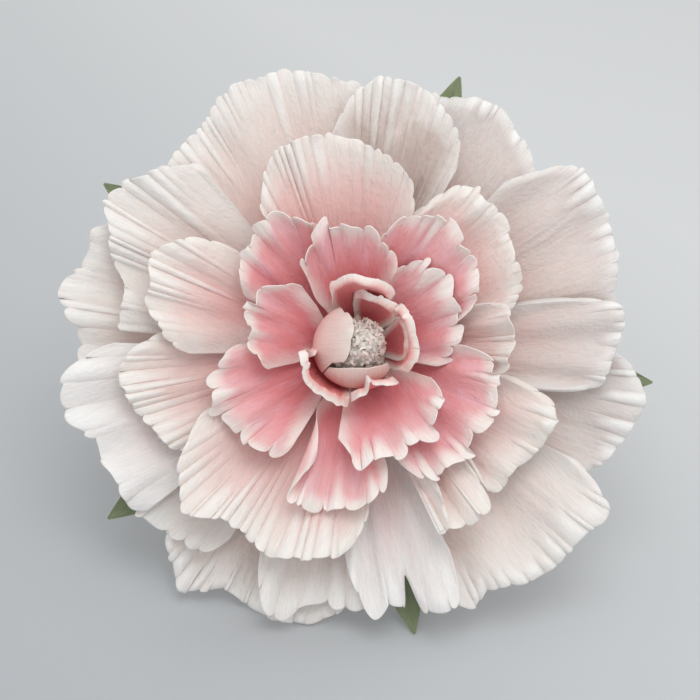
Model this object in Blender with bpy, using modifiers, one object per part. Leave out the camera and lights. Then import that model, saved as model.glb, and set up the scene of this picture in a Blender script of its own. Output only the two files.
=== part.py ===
"""Giant crepe paper peony, lying on the rim of its petals and the end of its stem.

The flower is made in the bloom's own frame: +Z is the bloom's axis towards the viewer, +X is to the
right and +Y upwards as one looks into the bloom, and the foot of the core is at z = 0. All pieces
hang from one empty, which lays the finished flower on the floor.
"""

import math
from dataclasses import dataclass

import bmesh
import bpy
import numpy as np
from mathutils import Matrix, Vector

# Reach of the petals from the bloom's axis, from the outermost whorls to the innermost
BLOOM_RADIUS = 0.2900
CUP_RADIUS = 0.2060
FRILL_RADIUS = 0.1470
HEART_BACK_RADIUS = 0.1360
HEART_FRONT_RADIUS = 0.1100
THROAT_RADIUS = 0.0600
BUD_RADIUS = 0.0400

# Height of the petals' tips above the top of the core
GUARD_BACK_RISE = 0.0140
GUARD_MIDDLE_RISE = 0.0280
GUARD_FRONT_RISE = 0.0430
CUP_BACK_RISE = 0.0580
CUP_FRONT_RISE = 0.0730
FRILL_RISE = 0.0800
HEART_BACK_RISE = 0.0760
HEART_FRONT_RISE = 0.0860
THROAT_RISE = 0.0830
BUD_RISE = 0.0630

# Paper and glue
PAPER_THICKNESS = 0.0010
SEAT_GAP = 0.0003

# Core that the petals are glued to, a cone with a flat top; the whorls step down it
CORE_FOOT_RADIUS = 0.0140
CORE_TOP_RADIUS = 0.0240
CORE_HEIGHT = 0.0620
CORE_EDGE_ROUND = 0.0020
TOP_SEAT_DEPTH = 0.0040
SEAT_STEP = 0.0050
CORE_SLOPE = (CORE_TOP_RADIUS - CORE_FOOT_RADIUS) / CORE_HEIGHT

# Stem
DOWEL_RADIUS = 0.0050
DOWEL_DEPTH_IN_CORE = 0.0450
STEM_LENGTH = 0.3500
WRAP_THICKNESS = 0.0010

# Green collar that hides the joint of core and stem, a bell that narrows between its ends
COLLAR_TOP_RADIUS = 0.0190
COLLAR_FOOT_RADIUS = 0.0095
COLLAR_LENGTH = 0.0240
COLLAR_SHOULDER = (0.93, 0.25)
COLLAR_WAIST = (1.15, 0.75)

# Stamen cluster on top of the core, flat below, lumpy elsewhere and leaning out from under the hood
STAMEN_RADIUS = 0.0260
STAMEN_HALF_HEIGHT = 0.0340
STAMEN_SEAT_DEPTH = 0.0160
STAMEN_LEAN_RIGHT = 0.0100
STAMEN_LEAN_UP = 0.0090
STAMEN_LUMP = 0.0022
STAMEN_LUMPS_ROUND = 5
STAMEN_LUMPS_HIGH = 5
FACES_PER_LUMP = (4, 2)

# Sepals behind the bloom, whose tips show past it: direction in degrees and share of their reach
SEPAL_SHOW = 0.0180
SEPAL_SEAT_HEIGHT = 0.0050
SEPAL_LEAVING_ANGLE = 2.0
SEPAL_BELLY = 0.50
SEPAL_TIP_HEIGHT = 0.0500
SEPAL_HALF_WIDTH = 0.0320
SEPAL_KEEL = 0.0060
SEPAL_CLAW_SHARE = 0.25
SEPAL_WIDEST = 0.60
SEPAL_POINT_SHARE = 0.03
SEPAL_ROUNDNESS = 5
SEPALS = ((146.0, 1.000), (68.5, 0.985), (-6.0, 1.010), (-77.5, 0.968), (-145.5, 0.990))
SEPAL_GRID = (4, 7)

# Petals: a coarse grid each, narrower at the claw, with uneven lobes at the tip
PETAL_ROWS = 4
COLUMNS_PER_LOBE = 4
UNEVENNESS = 0.07
SWAYS = 4
CORNER_ROUNDNESS = 4
CUP_RAMP = 1.5
CLAW_SHARE = 0.78
CLAW_END = 0.40
FLUTES_FROM = 0.35
REFLEX_FROM = 0.55
FOLD_RAMP = (0.15, 0.80)
HOOD_RADIUS = 0.0320
LEAST_FOLD = 1.0

ROUND_SIDES = 16
MERGE_DISTANCE = 0.00001

CREPE_ROUGHNESS = 0.85
WADDING_ROUGHNESS = 0.95
WOOD_ROUGHNESS = 0.70


@dataclass(frozen=True)
class Form:
    """How petals are cut and stretched: all but the number of lobes are shares of their length.

    The corner is cut off round, the notches lie between the lobes, the flutes run up to the tip, one
    for each lobe, the cup lifts the sides, and the reflex bends the tip back.
    """

    lobes: int
    notch: float
    corner: float
    flute: float
    cup: float
    reflex: float
    bend_radius: float = CORE_TOP_RADIUS


@dataclass(frozen=True)
class Petal:
    """One petal: its direction and half span in degrees, and shares of its whorl's radius and rise.

    A fold is (start, angle): the share of the half width at which the side turns over towards the
    viewer, and by how many degrees.
    """

    direction: float
    half_span: float
    length: float = 1.0
    height: float = 1.0
    left_fold: tuple = ()
    right_fold: tuple = ()


@dataclass(frozen=True)
class Whorl:
    """Petals glued a number of steps down the core, which leave it at one angle."""

    name: str
    step: int
    radius: float
    rise: float
    leaving_angle: float
    belly: float
    form: Form
    colour: tuple
    petals: tuple

    @property
    def seat_height(self):
        """Height at which the petals leave the core."""
        return CORE_HEIGHT - TOP_SEAT_DEPTH - self.step * SEAT_STEP


BUD_FORM = Form(lobes=2, notch=0.04, corner=0.12, flute=0.02, cup=0.03, reflex=0.0, bend_radius=HOOD_RADIUS)
THROAT_FORM = Form(lobes=2, notch=0.06, corner=0.20, flute=0.02, cup=0.035, reflex=0.0)
HEART_FORM = Form(lobes=4, notch=0.15, corner=0.24, flute=0.030, cup=0.052, reflex=0.085)
CUP_FORM = Form(lobes=3, notch=0.045, corner=0.26, flute=0.022, cup=0.049, reflex=0.068)
GUARD_FORM = Form(lobes=3, notch=0.045, corner=0.20, flute=0.018, cup=0.042, reflex=0.050)

BLUSH = (0.86, 0.66, 0.64)
ROSE = (0.82, 0.52, 0.54)
SHELL = (0.89, 0.75, 0.73)
IVORY = (0.93, 0.89, 0.87)
SAGE = (0.17, 0.22, 0.12)
MOSS = (0.20, 0.26, 0.13)
CREAM = (0.85, 0.76, 0.68)
KRAFT = (0.80, 0.70, 0.60)
BIRCH = (0.62, 0.45, 0.28)

WHORLS = (
    Whorl("bud_petal", 0, BUD_RADIUS, BUD_RISE, 47.0, 0.90, BUD_FORM, BLUSH, (
        Petal(158, 50, length=0.10),
        Petal(272, 46, length=0.72, height=0.84),
        Petal(62, 27, length=1.20, height=0.90),
        Petal(8, 22, length=1.20),
    )),
    Whorl("throat_petal", 1, THROAT_RADIUS, THROAT_RISE, 40.0, 0.55, THROAT_FORM, ROSE, (
        Petal(5, 35, length=0.99),
        Petal(83, 32, length=1.10, left_fold=(0.75, 100)),
        Petal(222, 41, right_fold=(0.70, 90)),
        Petal(293, 24, length=0.88),
    )),
    Whorl("heart_petal_front", 2, HEART_FRONT_RADIUS, HEART_FRONT_RISE, 35.0, 0.50, HEART_FORM, ROSE, (
        Petal(93, 31, length=1.11, left_fold=(0.80, 70)),
        Petal(160, 31, length=0.96),
        Petal(301, 39, length=0.93),
    )),
    Whorl("heart_petal_back", 3, HEART_BACK_RADIUS, HEART_BACK_RISE, 32.0, 0.50, HEART_FORM, ROSE, (
        Petal(28, 38, length=0.79, height=0.80),
        Petal(207, 30, length=1.015),
        Petal(262, 23, length=1.07),
    )),
    Whorl("frill_petal", 4, FRILL_RADIUS, FRILL_RISE, 27.0, 0.50, HEART_FORM, ROSE, (
        Petal(127, 25, length=1.03),
        Petal(47, 31, length=1.005),
        Petal(328, 35, length=0.95),
    )),
    Whorl("cup_petal_front", 5, CUP_RADIUS, CUP_FRONT_RISE, 20.0, 0.50, CUP_FORM, SHELL, (
        Petal(97, 31, length=1.04, left_fold=(0.78, 80)),
        Petal(160, 21, length=1.01),
        Petal(239, 37),
        Petal(5, 17, length=0.82),
        Petal(301, 14, length=0.98, right_fold=(0.35, 130)),
    )),
    Whorl("cup_petal_back", 6, CUP_RADIUS, CUP_BACK_RISE, 16.0, 0.50, CUP_FORM, SHELL, (
        Petal(192, 21, length=1.08),
        Petal(40, 24, length=0.96),
        Petal(330, 20),
    )),
    Whorl("guard_petal_front", 7, BLOOM_RADIUS, GUARD_FRONT_RISE, 11.0, 0.50, GUARD_FORM, IVORY, (
        Petal(152, 23, length=0.94),
        Petal(198, 20, length=0.985),
        Petal(282, 14, length=0.94),
        Petal(2, 14, length=0.93),
        Petal(78, 18, length=0.97),
    )),
    Whorl("guard_petal_middle", 8, BLOOM_RADIUS, GUARD_MIDDLE_RISE, 8.0, 0.50, GUARD_FORM, IVORY, (
        Petal(111, 29, length=1.025),
        Petal(220, 17, length=0.93, height=0.85),
        Petal(264, 19, length=0.96),
        Petal(310, 24, length=1.02),
        Petal(26, 22, length=1.015),
    )),
    Whorl("guard_petal_back", 9, BLOOM_RADIUS, GUARD_BACK_RISE, 5.0, 0.50, GUARD_FORM, IVORY, (
        Petal(172, 28, length=0.965),
        Petal(245, 26, length=0.98, height=0.20),
        Petal(339, 24, length=0.99, height=0.50),
        Petal(58, 26, length=0.99, height=0.30),
    )),
)

# Rest on the floor: the roll is searched around the direction in which the bloom settles, between
# the outermost petal below and the tip of the sepal beside it
REST_MIDDLE = -97.0
REST_SEARCH = 10.0
REST_STEP = 0.02


def clear_scene():
    """Removes whatever the scene holds."""
    for obj in list(bpy.data.objects):
        bpy.data.objects.remove(obj)


def make_collection(name):
    """A new collection in the scene."""
    collection = bpy.data.collections.new(name)
    bpy.context.scene.collection.children.link(collection)
    return collection


def make_material(name, colour, roughness):
    """A Principled material of one colour."""
    material = bpy.data.materials.new(name)
    material.use_nodes = True
    shader = material.node_tree.nodes["Principled BSDF"]
    shader.inputs["Base Color"].default_value = (*colour, 1.0)
    shader.inputs["Roughness"].default_value = roughness
    shader.inputs["Metallic"].default_value = 0.0
    return material


def add_object(name, mesh, material, collection, parent):
    """Links a mesh object under the bloom's empty."""
    obj = bpy.data.objects.new(name, mesh)
    mesh.materials.append(material)
    collection.objects.link(obj)
    obj.parent = parent
    return obj


def smooth_step(low, high, x):
    """0 below low, 1 above high, and smooth between them."""
    t = min(1.0, max(0.0, (x - low) / (high - low)))
    return t * t * (3.0 - 2.0 * t)


def core_radius(height):
    """Radius of the core's cone at a height."""
    return CORE_FOOT_RADIUS + CORE_SLOPE * height


def profile(seat_height, leaving_angle, belly, reach, tip_height, t):
    """Point (r, z) and unit normal of a petal's middle line, a quadratic Bezier from the core to the tip."""
    leaving = Vector((math.cos(math.radians(leaving_angle)), math.sin(math.radians(leaving_angle))))
    corner = PAPER_THICKNESS / 2 * (leaving.y + CORE_SLOPE * leaving.x)
    start = Vector((core_radius(seat_height) + SEAT_GAP + corner, seat_height))
    end = Vector((reach, tip_height))
    middle = start + leaving * (belly * (end - start).length)
    place = start * (1 - t) ** 2 + middle * (2 * t * (1 - t)) + end * t**2
    run = (middle - start) * (2 * (1 - t)) + (end - middle) * (2 * t)
    normal = Vector((-run.y, run.x)).normalized()
    return place, normal


def bent(excess, length, most):
    """How far paper reaches past a line, and stands out of its plane, where it bends into an arc there."""
    if excess <= 0 or abs(most) < math.radians(LEAST_FOLD):
        return excess, 0.0
    turn = most * min(1.0, excess / length)
    radius = length / most
    return radius * math.sin(turn), radius * (1 - math.cos(turn))


def outline(form, u, phase):
    """Share of the full length that the petal has at u across: round corners, and notches between lobes."""
    lobe = abs(math.sin(math.pi * form.lobes * (u + 1) / 2))
    uneven = 1 + UNEVENNESS * (math.sin(SWAYS * u + phase) - math.sin(phase)) / 2
    return uneven * (1 - form.corner * abs(u) ** CORNER_ROUNDNESS) * (1 - form.notch * (1 - lobe) ** 2)


def petal_point(whorl, petal, u, v):
    """Place in the bloom's frame of the petal's point u across, from -1 to 1, and v along, from 0 to 1."""
    form = whorl.form
    phase = math.radians(petal.direction)
    reach = whorl.radius * petal.length
    t = v * outline(form, u, phase)
    tip_height = CORE_HEIGHT + whorl.rise * petal.height
    place, normal = profile(whorl.seat_height, whorl.leaving_angle, whorl.belly, reach, tip_height, t)
    flutes = math.cos(math.pi * form.lobes * (u + 1) + phase) * smooth_step(FLUTES_FROM, 1.0, t)
    back = (max(0.0, t - REFLEX_FROM) / (1 - REFLEX_FROM)) ** 2
    out = whorl.radius * (form.cup * u * u * t**CUP_RAMP + form.flute * flutes - form.reflex * back)

    claw = CLAW_SHARE + (1 - CLAW_SHARE) * smooth_step(0.0, CLAW_END, t)
    bend_radius = CORE_TOP_RADIUS + (form.bend_radius - CORE_TOP_RADIUS) * smooth_step(0.0, CLAW_END, t)
    round_radius = max(place.x, bend_radius)
    half_width = math.radians(petal.half_span) * claw * round_radius
    across = half_width * (u + UNEVENNESS * math.sin(math.pi * u + phase) * (1 - u * u))
    for fold, side in ((petal.left_fold, 1), (petal.right_fold, -1)):
        if not fold:
            continue
        start, angle = fold
        flat = start * half_width
        most = math.radians(angle) * smooth_step(*FOLD_RAMP, t)
        reached, stand = bent(across * side - flat, half_width - flat, most)
        if stand:
            across = side * (flat + reached)
            out += stand

    turn = across / round_radius
    outwards = place.x + normal.x * out - round_radius * (1 - math.cos(turn))
    sideways = (round_radius + normal.x * out) * math.sin(turn)
    return Vector((
        outwards * math.cos(phase) - sideways * math.sin(phase),
        outwards * math.sin(phase) + sideways * math.cos(phase),
        place.y + normal.y * out,
    ))


def grid_mesh(name, columns, rows, place):
    """A grid whose vertices are put at place(u, v), u running from -1 to 1 and v from 0 to 1."""
    bm = bmesh.new()
    bmesh.ops.create_grid(bm, x_segments=columns, y_segments=rows, size=1.0)
    for vertex in bm.verts:
        vertex.co = place(vertex.co.x, (vertex.co.y + 1) / 2)
    mesh = bpy.data.meshes.new(name)
    bm.to_mesh(mesh)
    bm.free()
    mesh.shade_smooth()
    return mesh


def thicken(obj):
    """Gives a sheet the thickness of the paper, half on each side."""
    solidify = obj.modifiers.new("paper", "SOLIDIFY")
    solidify.thickness = PAPER_THICKNESS
    solidify.offset = 0.0


def make_petal(whorl, petal, number, material, collection, parent):
    """One crepe petal, a thickened sheet."""
    columns = whorl.form.lobes * COLUMNS_PER_LOBE
    name = f"{whorl.name}_{number}"
    mesh = grid_mesh(name, columns, PETAL_ROWS, lambda u, v: petal_point(whorl, petal, u, v))
    thicken(add_object(name, mesh, material, collection, parent))


def sepal_point(direction, reach, u, v):
    """Place of a sepal's point: a long pointed leaf with a keel."""
    place, normal = profile(SEPAL_SEAT_HEIGHT, SEPAL_LEAVING_ANGLE, SEPAL_BELLY, reach, SEPAL_TIP_HEIGHT, v)
    shape = SEPAL_CLAW_SHARE + (1 - SEPAL_CLAW_SHARE) * smooth_step(0.0, SEPAL_WIDEST, v)
    shape *= 1 - (1 - SEPAL_POINT_SHARE) * v**SEPAL_ROUNDNESS
    width = SEPAL_HALF_WIDTH * shape
    place = place + normal * (SEPAL_KEEL * abs(u) * smooth_step(0.0, SEPAL_WIDEST / 2, v) * shape)
    angle = math.radians(direction) + u * width / place.x
    return Vector((place.x * math.cos(angle), place.x * math.sin(angle), place.y))


def make_sepals(collection, parent):
    """Five green sepals behind the petals, whose tips show past the rim."""
    material = make_material("leaf_crepe", SAGE, CREPE_ROUGHNESS)
    for number, (direction, share) in enumerate(SEPALS, 1):
        name = f"sepal_{number}"
        reach = (BLOOM_RADIUS + SEPAL_SHOW) * share
        mesh = grid_mesh(name, *SEPAL_GRID, lambda u, v: sepal_point(direction, reach, u, v))
        thicken(add_object(name, mesh, material, collection, parent))


def turned_mesh(name, points):
    """A mesh that holds the closed outline (r, z) of a turned piece."""
    mesh = bpy.data.meshes.new(name)
    count = len(points)
    edges = [(i, (i + 1) % count) for i in range(count)]
    mesh.from_pydata([(r, 0.0, z) for r, z in points], edges, [])
    return mesh


def turn(obj):
    """Spins an outline round the bloom's axis."""
    screw = obj.modifiers.new("turning", "SCREW")
    screw.axis = "Z"
    screw.angle = math.radians(360)
    screw.steps = ROUND_SIDES
    screw.render_steps = ROUND_SIDES
    screw.use_merge_vertices = True
    screw.merge_threshold = MERGE_DISTANCE
    screw.use_smooth_shade = False


def make_core(collection, parent):
    """Cone of wadded paper with a blind hole for the dowel."""
    hole = DOWEL_RADIUS + SEAT_GAP
    top = CORE_HEIGHT
    outline_points = (
        (core_radius(top - CORE_EDGE_ROUND), top - CORE_EDGE_ROUND),
        (CORE_FOOT_RADIUS, 0.0),
        (hole, 0.0),
        (hole, DOWEL_DEPTH_IN_CORE + SEAT_GAP),
        (0.0, DOWEL_DEPTH_IN_CORE + SEAT_GAP),
        (0.0, top),
        (CORE_TOP_RADIUS - CORE_EDGE_ROUND, top),
    )
    material = make_material("core_paper", KRAFT, WADDING_ROUGHNESS)
    turn(add_object("petal_core", turned_mesh("petal_core", outline_points), material, collection, parent))


def make_stem(collection, parent):
    """Wooden dowel, its green crepe wrapping, and the collar under the bloom."""
    wood = make_material("dowel_wood", BIRCH, WOOD_ROUGHNESS)
    green = make_material("stem_crepe", MOSS, CREPE_ROUGHNESS)
    wrap_inside = DOWEL_RADIUS + SEAT_GAP
    wrap_outside = wrap_inside + WRAP_THICKNESS
    dowel = (
        (DOWEL_RADIUS, DOWEL_DEPTH_IN_CORE),
        (DOWEL_RADIUS, -STEM_LENGTH),
        (0.0, -STEM_LENGTH),
        (0.0, DOWEL_DEPTH_IN_CORE),
    )
    wrap = (
        (wrap_outside, -SEAT_GAP),
        (wrap_outside, -STEM_LENGTH),
        (wrap_inside, -STEM_LENGTH),
        (wrap_inside, -SEAT_GAP),
    )
    collar_hole = wrap_outside + SEAT_GAP
    collar = (
        (COLLAR_TOP_RADIUS, -SEAT_GAP),
        (COLLAR_TOP_RADIUS * COLLAR_SHOULDER[0], -SEAT_GAP - COLLAR_LENGTH * COLLAR_SHOULDER[1]),
        (COLLAR_FOOT_RADIUS * COLLAR_WAIST[0], -SEAT_GAP - COLLAR_LENGTH * COLLAR_WAIST[1]),
        (COLLAR_FOOT_RADIUS, -SEAT_GAP - COLLAR_LENGTH),
        (collar_hole, -SEAT_GAP - COLLAR_LENGTH),
        (collar_hole, -SEAT_GAP),
    )
    turn(add_object("stem_dowel", turned_mesh("stem_dowel", dowel), wood, collection, parent))
    turn(add_object("stem_wrap", turned_mesh("stem_wrap", wrap), green, collection, parent))
    turn(add_object("stem_collar", turned_mesh("stem_collar", collar), green, collection, parent))


def make_stamens(collection, parent):
    """Lumpy dome of crumpled stamen tips, flat where it is glued to the core."""
    bm = bmesh.new()
    round_faces = STAMEN_LUMPS_ROUND * FACES_PER_LUMP[0]
    high_faces = STAMEN_LUMPS_HIGH * FACES_PER_LUMP[1]
    bmesh.ops.create_uvsphere(bm, u_segments=round_faces, v_segments=high_faces, radius=1.0)
    middle = CORE_HEIGHT + SEAT_GAP + STAMEN_SEAT_DEPTH
    for vertex in bm.verts:
        x, y, z = vertex.co
        turn = math.atan2(y, x) * STAMEN_LUMPS_ROUND
        climb = math.acos(max(-1.0, min(1.0, z))) * STAMEN_LUMPS_HIGH
        lump = 1 + STAMEN_LUMP / STAMEN_RADIUS * math.sin(turn + climb) * math.hypot(x, y)
        height = max(z * STAMEN_HALF_HEIGHT * lump, -STAMEN_SEAT_DEPTH)
        lean = (height + STAMEN_SEAT_DEPTH) / (STAMEN_HALF_HEIGHT + STAMEN_SEAT_DEPTH)
        vertex.co = (
            x * STAMEN_RADIUS * lump + STAMEN_LEAN_RIGHT * lean,
            y * STAMEN_RADIUS * lump + STAMEN_LEAN_UP * lean,
            middle + height,
        )
    mesh = bpy.data.meshes.new("stamen_cluster")
    bm.to_mesh(mesh)
    bm.free()
    material = make_material("stamen_paper", CREAM, WADDING_ROUGHNESS)
    add_object("stamen_cluster", mesh, material, collection, parent)


def world_points(objects):
    """All vertices of the finished pieces, as rows of x, y and z."""
    graph = bpy.context.evaluated_depsgraph_get()
    found = []
    for obj in objects:
        finished = obj.evaluated_get(graph)
        mesh = finished.to_mesh()
        points = np.empty(len(mesh.vertices) * 3)
        mesh.vertices.foreach_get("co", points)
        found.append(points.reshape(-1, 3))
        finished.to_mesh_clear()
    return np.concatenate(found)


def lay_down(empty, pieces):
    """Turns and moves the bloom so that it rests on the stem's end and on two points of its rim."""
    bpy.context.view_layer.update()
    points = world_points(pieces)
    rim = points[np.hypot(points[:, 0], points[:, 1]) > CUP_RADIUS]
    stem_radius = DOWEL_RADIUS + SEAT_GAP + WRAP_THICKNESS

    def slope(roll):
        """Tangent of the axis's tilt at which the rim touches the floor, for one roll of the bloom."""
        drop = -(rim[:, 0] * math.sin(roll) + rim[:, 1] * math.cos(roll))
        return ((drop - stem_radius) / (rim[:, 2] + STEM_LENGTH)).max()

    middle = math.radians(-90.0 - REST_MIDDLE)
    steps = round(REST_SEARCH / REST_STEP)
    rolls = [middle + math.radians(i * REST_STEP) for i in range(-steps, steps + 1)]
    roll = min(rolls, key=slope)
    tilt = math.atan(slope(roll))
    turned = Matrix.Rotation(math.pi / 2 - tilt, 4, "X") @ Matrix.Rotation(roll, 4, "Z")
    placed = points @ np.array(turned.to_3x3()).T
    low = placed.min(axis=0)
    high = placed.max(axis=0)
    middle_place = Vector((-(low[0] + high[0]) / 2, -(low[1] + high[1]) / 2, -low[2]))
    empty.matrix_world = Matrix.Translation(middle_place) @ turned


def main():
    """Builds the flower and lays it on the floor."""
    clear_scene()
    collection = make_collection("crepe_paper_peony")
    empty = bpy.data.objects.new("bloom_frame", None)
    collection.objects.link(empty)
    for whorl in WHORLS:
        material = make_material(f"{whorl.name}_crepe", whorl.colour, CREPE_ROUGHNESS)
        for number, petal in enumerate(whorl.petals, 1):
            make_petal(whorl, petal, number, material, collection, empty)
    make_sepals(collection, empty)
    make_core(collection, empty)
    make_stem(collection, empty)
    make_stamens(collection, empty)
    lay_down(empty, [obj for obj in collection.objects if obj.type == "MESH"])


main()
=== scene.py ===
"""Dresses a giant crepe paper peony: each petal as one stretched, fluted and cut sheet of crepe.

Shapes are worked out in the bloom's own frame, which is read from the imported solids: +Z is the
bloom's axis towards the viewer, +X is to the right and +Y upwards as one looks into the bloom, and
the foot of the core is at z = 0. Lengths are in metres and angles in degrees.
"""

import logging
import math
from dataclasses import dataclass, replace
from enum import Enum

import bmesh
import bpy
import numpy as np
from bpy.types import Material, Mesh, Node, NodeSocket as Socket, NodeTree, Object
from mathutils import Matrix, Vector, noise

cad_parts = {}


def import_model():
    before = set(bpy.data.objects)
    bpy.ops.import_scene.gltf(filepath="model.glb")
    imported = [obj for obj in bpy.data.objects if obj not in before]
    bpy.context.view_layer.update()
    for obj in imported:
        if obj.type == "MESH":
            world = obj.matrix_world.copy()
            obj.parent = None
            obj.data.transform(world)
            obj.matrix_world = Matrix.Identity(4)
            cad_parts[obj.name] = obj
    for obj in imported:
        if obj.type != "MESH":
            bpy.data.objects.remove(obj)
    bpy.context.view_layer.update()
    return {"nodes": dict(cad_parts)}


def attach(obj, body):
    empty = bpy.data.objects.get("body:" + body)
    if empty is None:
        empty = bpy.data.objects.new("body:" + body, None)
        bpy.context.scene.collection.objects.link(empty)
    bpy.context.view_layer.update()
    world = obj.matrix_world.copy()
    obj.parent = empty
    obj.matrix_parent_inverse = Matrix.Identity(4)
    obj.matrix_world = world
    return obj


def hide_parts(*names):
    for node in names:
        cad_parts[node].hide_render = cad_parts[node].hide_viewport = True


LOG = logging.getLogger("peony")

Grid = np.ndarray
Pair = tuple[float, float]
Colour = tuple[float, float, float]
Stops = tuple[tuple[float, Colour], ...]

# Sizes shared with the solids
SEAT_GAP = 0.0003
CORE_FOOT_RADIUS = 0.0140
CORE_TOP_RADIUS = 0.0240
CORE_HEIGHT = 0.0620
DOWEL_RADIUS = 0.0050
DOWEL_DEPTH_IN_CORE = 0.0450
STEM_LENGTH = 0.3500
SEPAL_READ = ("sepal_3", -6.0)

# Photograph: its side and the bloom's middle in pixels, how far a pixel reaches in a plane across
# the bloom, that plane's height above the core's foot, and the camera's distance from it
PHOTO_SIDE = 700
PHOTO_MIDDLE = (352, 351)
METRES_PER_PIXEL = 0.0010
CAMERA_PLANE = 0.100
CAMERA_DISTANCE = 1.70

# Thickness of the dressed paper, and half the width of a scissor cut between two lobes
PAPER_THICKNESS = 0.0009
SLIT_HALF_WIDTH = 0.0004

# Least turn of a bend in radians, decimals to which corners are told apart, and samples of a line
LEAST_TURN = 1e-3
CORNER_DECIMALS = 6
LINE_SAMPLES = 60

# The middle of what runs from 0 to 1, and the mix node's sockets: two colours and their result
MIDDLE = 0.5
MIX_FIRST, MIX_SECOND, MIX_RESULT = 6, 7, 2

# Noise in crepe: cells in a metre for each axis, and detail. All but the clouds lie on the flat
# sheet, across and along the grain
CLOUDS = ((22.0, 22.0, 22.0), 3.0)
STREAKS = ((160.0, 16.0, 1.0), 4.0)
WASHES = ((70.0, 26.0, 1.0), 5.0)
WRINKLES = ((620.0, 48.0, 1.0), 3.0)
FINE_GRAIN = ((1500.0, 220.0, 1.0), 2.0)
CRUSHES = ((150.0, 85.0, 1.0), 3.0)

# Dye: what makes up its drift, how far the drift moves it along the petal and at the rim, where
# washes begin and end; where the painted highlight on crests and the painted shade in grooves begin
# and end, how pale the crest highlight and cut edges are, and how dark the painted groove shade is
CLOUD_SHARE = 0.7
STREAK_SHARE = 0.3
DRIFT_ALONG = 0.5
DRIFT_AT_RIM = 1.2
WASH_SPAN = (0.48, 0.74)
CREST_HIGHLIGHT_SPAN = (0.10, 0.75)
CREST_HIGHLIGHT_SHARE = 0.85
GROOVE_SPAN = (0.25, 0.60)
GROOVE_SHADE = (0.90, 1.0)
EDGE_SHARE = 0.8

# Crepe's surface: the fine grain's share of its relief, the relief's depth, and the shader
FINE_SHARE = 0.45
GRAIN_DEPTH = 0.0009
CREPE_SHADER = {
    "Roughness": 0.75,
    "Specular IOR Level": 0.22,
    "Sheen Weight": 0.10,
    "Sheen Roughness": 0.5,
    "Subsurface Radius": (1.0, 0.55, 0.45),
    "Subsurface Scale": 0.004,
}

# Crumpled paper and wood: share of the scale and detail for grain, clouds and dots, where each
# begins and ends, the clouds' strength, the relief's depth, and the shader
SPECKLE_NOISE = ((1.0, 5.0), (0.22, 3.0), (2.4, 2.0))
# The grain's low places, where the relief sinks, get painted crease shade
CREASE_SHADE_SPAN = (0.42, 0.62)
CLOUD_SPAN = (0.45, 0.70)
CLOUD_STRENGTH = 0.35
DOT_SPAN = (0.66, 0.69)
SPECKLE_DEPTH = 0.0010
SPECKLE_SHADER = {
    "Specular IOR Level": 0.25,
    "Subsurface Radius": (1.0, 0.85, 0.75),
    "Subsurface Scale": 0.008,
}

# Petals: parts of their length over which the claw widens and the sheet comes free, waves, creases
# and folds, and where the tip begins to roll back and over what share
CLAW_PART = (0.0, 0.4)
FREE_PART = (0.2, 1.0)
WAVY_PART = (0.35, 1.0)
CREASED_PART = (0.10, 0.45)
FOLDED_PART = (0.15, 0.80)
REFLEX_START = 0.55
REFLEX_RUN = 0.45

# Petals: powers of the cup, the valley, the rounded corners, the flutes and the crowding of rows
# towards the rim
CUP_POWER = 1.5
VALLEY_POWER = 1.5
CORNER_POWER = 4
FLUTE_POWER = 0.8
ROW_POWER = 1.35

# Petals: cells across and along of the sway and of the crushed patches, cell and depth of the
# ridges, their cell along, and the widths from which sway and ridges are full
SWAY_CELL = (0.034, 0.052)
SWAY_DEPTH = 0.0030
SWAY_WIDTH = 0.080
SWAY_SHIFT = 0.3
PATCH_CELL = (0.045, 0.070)
PATCH_SPAN = (-0.35, 0.45)
RIDGES = ((0.0095, 0.00100), (0.0050, 0.00050))
RIDGE_RUN = 0.075
RIDGE_WIDTH = 0.060
RIDGE_SHIFT = 0.7
RIDGE_SWAY = 0.5

# Outlines: cells and shares of the ragged length, how it is shifted, how far the length's swing
# turns in half a width, and the least distance to a side
RAGGED_CELLS = ((0.045, 1.0), (0.019, 0.4))
RAGGED_SHIFT = 0.2
SWINGS = 4
SIDE_MARGIN = 0.0004

# How far a lobe's tilt reaches in from its rim: in slit depths, and past them
TILT_REACH = 2.2
TILT_MARGIN = 0.004

# What a petal's seed is made of
DIRECTION_SEED = 7
SPAN_SEED = 1000


def smooth_step(low: float, high: float, x: Grid) -> Grid:
    """0 below low, 1 above high, and smooth between them."""
    t = np.clip((x - low) / (high - low), 0.0, 1.0)
    return t * t * (3.0 - 2.0 * t)


def value_noise(x: Grid, y: Grid, random: np.random.Generator) -> Grid:
    """Smooth noise from -1 to 1 over a plane of unit cells.

    Args:
        x: First coordinate of each point, from 0 up.
        y: Second coordinate of each point, from 0 up.
        random: The source of the values at the cells' corners.

    Returns:
        The noise at each point.
    """
    wide = int(x.max()) + 2
    high = int(y.max()) + 2
    lattice = random.uniform(-1.0, 1.0, (wide + 1, high + 1))
    i = np.floor(x).astype(int)
    j = np.floor(y).astype(int)
    a = smooth_step(0.0, 1.0, x - i)
    b = smooth_step(0.0, 1.0, y - j)
    near = lattice[i, j] * (1 - a) + lattice[i + 1, j] * a
    far = lattice[i, j + 1] * (1 - a) + lattice[i + 1, j + 1] * a
    return near * (1 - b) + far * b


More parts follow.
